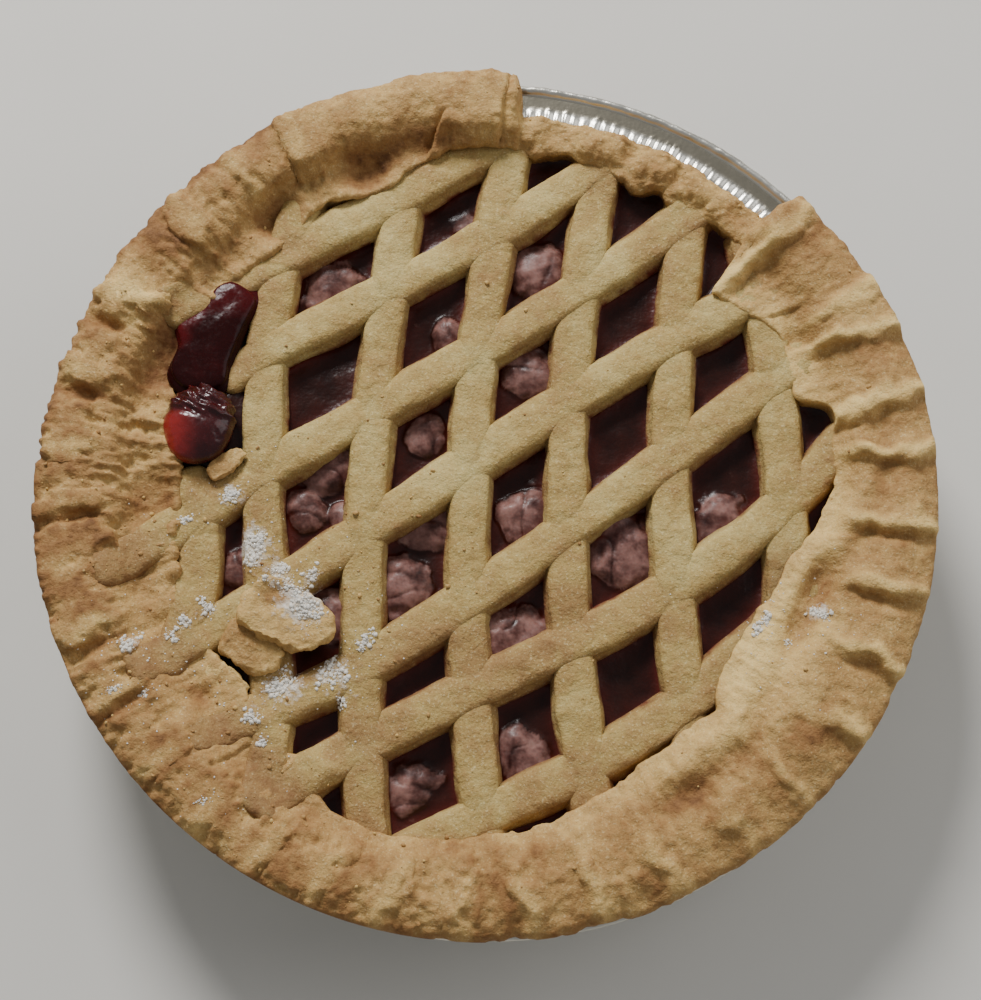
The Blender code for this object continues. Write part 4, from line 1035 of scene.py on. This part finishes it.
# slab with a superellipse outline |x|^n + |y|^n = 1 and a rounded edge, broken up by noise: its
# rings, the way along it from -1 to 1 and the share of its thickness
def slabRings(slab, seed, columns):
    atX, atY, atZ, halfLength, halfWidth, thick, turned = slab
    turn = np.linspace(0.0, 2.0 * math.pi, columns, endpoint=False)
    c, s = np.cos(turn), np.sin(turn)
    level = np.concatenate([np.linspace(0.05, 0.9, 9), 0.9 + 0.1 * np.sin(np.linspace(0, math.pi, 12)),
                            np.linspace(0.9, 0.03, 24)[1:]])
    lift = np.concatenate([np.zeros(9), 0.5 - 0.5 * np.cos(np.linspace(0, math.pi, 12)), np.ones(23)])
    x = halfLength * np.sign(c) * np.abs(c) ** 0.72 * level[:, None]
    y = halfWidth * np.sign(s) * np.abs(s) ** 0.72 * (1.0 - 0.22 * np.sign(c) * np.abs(c)) * level[:, None]
    z = thick * lift[:, None] + 0.0 * x
    points = np.stack([x, y, z], axis=-1)
    outward = np.stack([c, s, 0.0 * c], axis=-1)
    ragged = 0.15 * halfWidth * roughNoise(points, 0.55 * halfWidth, 3, seed)
    side = np.zeros((len(level), 1))
    side[9:21, 0] = np.sin(np.linspace(0.2, math.pi - 0.2, 12))
    ragged += 0.30 * side * crestNoise(points, 1.6, 2, seed + 3)
    points = points + outward * ragged[..., None] * level[:, None, None]
    points[..., 2] += lift[:, None] * (0.5 * roughNoise(points, 4.2, 3, seed + 5) - 0.06 * points[..., 0])
    cosine, sine = math.cos(math.radians(turned)), math.sin(math.radians(turned))
    x, y = points[..., 0].copy(), points[..., 1].copy()
    points[..., 0], points[..., 1] = atX + x * cosine - y * sine, atY + x * sine + y * cosine
    points[..., 2] += atZ
    return points, x / halfLength, lift[:, None] + 0.0 * x


# the broken scrap, browned in its hollow and darker down its sides, partly browning and partly painted shade,
# and the chips, browned at one end
def makeScraps():
    finish = pastryFinish("broken_pastry", pastry["rimColours"], 1.1)
    rings, _, lift = slabRings(scraps["scrap"], 91, scraps["columns"])
    atX, atY, wide, deep = scraps["hollow"]
    hollow = np.exp(-np.hypot((rings[..., 0] - atX) / wide, (rings[..., 1] - atY) / deep) ** 3) * lift
    rings[..., 2] -= 0.7 * hollow
    # darker down the sides: partly browning, partly painted shade on the side walls
    bakeAndShading = 0.34 + 0.34 * hollow + 0.14 * (1 - lift)
    dust = dustAt(rings[..., 0], rings[..., 1]) * lift
    piece = addShell("pastry_scrap_dressed", rings, "broken_pastry", finish, {"bakeAndShading": bakeAndShading, "dust": dust})
    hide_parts("pastry_scrap")
    for k, (*slab, darkened) in enumerate(scraps["chips"]):
        rings, along, _ = slabRings(slab, 95 + 9 * k, scraps["chipColumns"])
        bakeAndShading = 0.22 + 0.36 * darkened * ease(0.8 - 0.5 * along)
        values = {"bakeAndShading": bakeAndShading, "dust": 0.0 * bakeAndShading}
        addShell("pastry_chip_%d" % (k + 1), rings, "broken_pastry", finish, values)
    return piece


scrapPiece = makeScraps()
print("scrap and chips made")


# sizes are half widths in mm; nothing loose lands below lowest, above highest or outside reach
crumbs = {
    "count": 380, "seed": 17, "small": 0.18, "large": 0.7, "flat": 0.75,
    # two thirds lie between these bearings; of all of them this share lies on the rim, between
    # these radii, and the rest further in, clear of the middle
    "thickFrom": 150, "thickTo": 265, "rimShare": 0.7, "rimFrom": 74, "rimTo": 100, "clear": 10,
    "dropHeight": 60.0, "lowest": 28.9, "highest": 39.0, "reach": 100.5,
}
flour = {
    "seed": 23, "grainsPerClump": 150, "small": 0.14, "large": 0.62, "flat": 0.6,
    # each clump is made of heaps: their number, and the spread of heaps and grains by its half size
    "heaps": 5, "heapSpread": 0.45, "grainSpread": 0.30,
    "stray": 420, "strayReach": 7.0, "straySmall": 0.10, "strayLarge": 0.26,
    "colours": ((0.3, (214, 205, 188)), (0.7, (238, 233, 224))),
}


# one tree of every surface that loose bits can lie on
def landingTree():
    corners, sides, count = [], [], 0
    for piece in (crustPiece, latticePiece, scrapPiece, fillingPiece):
        found = np.empty(len(piece.data.vertices) * 3, np.float32)
        piece.data.vertices.foreach_get("co", found)
        corners += found.reshape(-1, 3).tolist()
        sides += [[v + count for v in side.vertices] for side in piece.data.polygons]
        count = len(corners)
    return BVHTree.FromPolygons(corners, sides)


# twelve corners and twenty sides of a regular icosahedron of radius 1
def icosahedron():
    g = 0.5 * (1.0 + math.sqrt(5.0))
    corners = np.array([(-1, g, 0), (1, g, 0), (-1, -g, 0), (1, -g, 0), (0, -1, g), (0, 1, g),
                        (0, -1, -g), (0, 1, -g), (g, 0, -1), (g, 0, 1), (-g, 0, -1), (-g, 0, 1)])
    sides = np.array([(0, 11, 5), (0, 5, 1), (0, 1, 7), (0, 7, 10), (0, 10, 11), (1, 5, 9), (5, 11, 4),
                      (11, 10, 2), (10, 7, 6), (7, 1, 8), (3, 9, 4), (3, 4, 2), (3, 2, 6), (3, 6, 8),
                      (3, 8, 9), (4, 9, 5), (2, 4, 11), (6, 2, 10), (8, 6, 7), (9, 8, 1)])
    return corners / math.sqrt(1.0 + g * g), sides


# many small lumps as one mesh: the same corners scaled, dented and turned for each, all at once
def lumps(places, sizes, flatness, rng):
    corners, sides = icosahedron()
    n = len(places)
    shape = corners[None] * (1.0 + rng.uniform(-0.28, 0.28, (n, 12, 1)))
    shape = shape * rng.uniform(0.7, 1.25, (n, 1, 3)) * sizes[:, None, None]
    turn, nod = rng.uniform(0, 2 * math.pi, (2, n))
    c, s = np.cos(turn)[:, None], np.sin(turn)[:, None]
    cn, sn = np.cos(nod)[:, None], np.sin(nod)[:, None]
    x, y, z = shape[..., 0] * c - shape[..., 1] * s, shape[..., 0] * s + shape[..., 1] * c, shape[..., 2]
    y, z = y * cn - z * sn, (y * sn + z * cn) * flatness
    points = np.stack([x, y, z], axis=-1) + places[:, None, :]
    faces = sides[None] + 12 * np.arange(n)[:, None, None]
    return points.reshape(-1, 3), [faces.reshape(-1, 3)]


# places dropped on to the surface below, a share of each lump's size sunk into it, and which to keep
def dropped(plan, sizes, tree, sink):
    landed = []
    for (x, y), size in zip(plan, sizes):
        start = Vector((x * mm + pieMiddle[0], y * mm + pieMiddle[1], crumbs["dropHeight"] * mm))
        hit = tree.ray_cast(start, Vector((0, 0, -1)))[0]
        landed.append((x, y, (hit.z / mm if hit else -1.0) + sink * size))
    landed = np.array(landed)
    kept = (landed[:, 2] > crumbs["lowest"]) & (landed[:, 2] + sizes < crumbs["highest"])
    return landed, kept & (np.hypot(landed[:, 0], landed[:, 1]) < crumbs["reach"])


# crumbs all round, thicker at the front left, most of them on the rim and most of them small
def makeCrumbs(tree):
    rng = np.random.default_rng(crumbs["seed"])
    n, rimFrom = crumbs["count"], crumbs["rimFrom"]
    everywhere = rng.uniform(0, 360, n // 3)
    thicker = rng.uniform(crumbs["thickFrom"], crumbs["thickTo"], n - n // 3)
    turn = np.concatenate([everywhere, thicker])
    onRim = rng.random(n) < crumbs["rimShare"]
    outside = rng.uniform(rimFrom, crumbs["rimTo"], n)
    away = np.where(onRim, outside, rng.uniform(crumbs["clear"], rimFrom, n))
    plan = placed(away, turn, 0.0)[:, :2]
    sizes = crumbs["small"] + (crumbs["large"] - crumbs["small"]) * rng.random(n) ** 3
    landed, kept = dropped(plan, sizes, tree, 0.2)
    points, faces = lumps(landed[kept], sizes[kept], crumbs["flat"], rng)
    bakeAndShading = np.repeat(rng.uniform(0.25, 0.72, int(kept.sum())), 12)
    finish = pastryFinish("crumb_pastry", pastry["rimColours"], 0.8)
    addPiece("pastry_crumbs", points, faces, finish, {"bakeAndShading": bakeAndShading, "dust": 0.0 * bakeAndShading})


# grains of flour in a few heaps per clump, and stray grains round the clumps
def makeFlour(tree):
    rng = np.random.default_rng(flour["seed"])
    plan, sizes = [], []
    for x, y, reach, share in flourClumps:
        n = int(flour["grainsPerClump"] * share * (reach / 2.5) ** 1.2)
        heaps = rng.normal(0.0, 1.0, (flour["heaps"], 2)) * flour["heapSpread"] * reach
        chosen = heaps[rng.integers(0, flour["heaps"], n)]
        plan.append(chosen + rng.normal(0.0, 1.0, (n, 2)) * flour["grainSpread"] * reach + (x, y))
        sizes.append(flour["small"] + (flour["large"] - flour["small"]) * rng.random(n) ** 2.5)
    n = flour["stray"]
    clump = rng.integers(0, len(flourClumps), n)
    home = np.array([c[:2] for c in flourClumps])[clump]
    plan.append(home + rng.normal(0.0, flour["strayReach"], (n, 2)))
    sizes.append(rng.uniform(flour["straySmall"], flour["strayLarge"], n))
    plan, sizes = np.concatenate(plan), np.concatenate(sizes)
    landed, kept = dropped(plan, sizes, tree, 0.1)
    points, faces = lumps(landed[kept], sizes[kept], flour["flat"], rng)
    f = Finish("flour")
    fine = f.noise(0.35, 2.0)
    f.shade(Base_Color=f.ramp(fine, flour["colours"]), Roughness=0.92, Specular_IOR_Level=0.2,
            Subsurface_Weight=0.3, Subsurface_Radius=(1.0, 0.9, 0.8), Subsurface_Scale=0.5 * mm,
            Normal=f.bumps((fine, 0.08)))
    addPiece("loose_flour", points, faces, f.material)


landing = landingTree()
makeCrumbs(landing)
makeFlour(landing)
print("crumbs and flour made")


studio = {
    "floorHalf": 8.0, "floorDark": (214, 210, 202), "floorPale": (222, 218, 210),
    # bearing of the light from the pie, degrees above the horizon, distance and size in metres, watts
    "key": (108.0, 37.0, 1.25, 0.4, 19.0), "fill": (20.0, 34.0, 1.6, 1.4, 7.0),
    "sky": 0.30, "skyColour": (0.94, 0.97, 1.0),
    # degrees above the horizon, distance and aim in mm, focal length
    "cameraRise": 75.0, "cameraAway": 450.0, "aimAt": (0.8, 0.0, 17.0), "focal": 67.63,
}


# a wide plain floor, half its width in metres
def makeFloor():
    half = studio["floorHalf"]
    mesh = bpy.data.meshes.new("floor")
    corners = [(-half, -half, 0), (half, -half, 0), (half, half, 0), (-half, half, 0)]
    mesh.from_pydata(corners, [], [(0, 1, 2, 3)])
    f = Finish("floor")
    tone = f.noise(60.0, 3.0)
    colour = f.mix(tone, studio["floorDark"], studio["floorPale"])
    f.shade(Base_Color=colour, Roughness=0.85)
    mesh.materials.append(f.material)
    made = bpy.data.objects.new("floor", mesh)
    bpy.context.scene.collection.objects.link(made)


# place away from the pie at a bearing and a rise in degrees: (cos e cos b, cos e sin b, sin e)
def awayAt(bearing, rise, away):
    b, e = math.radians(bearing), math.radians(rise)
    towards = Vector((math.cos(e) * math.cos(b), math.cos(e) * math.sin(b), math.sin(e)))
    return Vector(pieMiddle) + away * towards


# lamp or camera at a place, turned towards what it is aimed at
def addAimed(name, data, place, aim):
    made = bpy.data.objects.new(name, data)
    made.location = place
    made.rotation_euler = (aim - place).to_track_quat("-Z", "Y").to_euler()
    bpy.context.scene.collection.objects.link(made)
    return made


# round lamp turned towards the pie
def addLight(name, setting):
    bearing, rise, away, size, watts = setting
    lamp = bpy.data.lights.new(name, "AREA")
    lamp.shape, lamp.size, lamp.energy = "DISK", size, watts
    addAimed(name, lamp, awayAt(bearing, rise, away), Vector(pieMiddle))


# even light from a pale sky
def makeWorld():
    world = bpy.data.worlds.new("studio")
    world.use_nodes = True
    back = world.node_tree.nodes["Background"]
    back.inputs["Color"].default_value = (*studio["skyColour"], 1.0)
    back.inputs["Strength"].default_value = studio["sky"]
    bpy.context.scene.world = world


# camera at the front, looking down at the pie
def makeCamera():
    lens = bpy.data.cameras.new("camera")
    lens.lens, lens.sensor_width, lens.sensor_fit = studio["focal"], 36.0, "HORIZONTAL"
    lens.clip_start, lens.clip_end = 0.01, 20.0
    place = awayAt(-90.0, studio["cameraRise"], studio["cameraAway"] * mm)
    aim = Vector(np.array(studio["aimAt"]) * mm + pieMiddle)
    bpy.context.scene.camera = addAimed("camera", lens, place, aim)


makeFloor()
addLight("key", studio["key"])
addLight("fill", studio["fill"])
makeWorld()
makeCamera()
print("floor, lights and camera made")
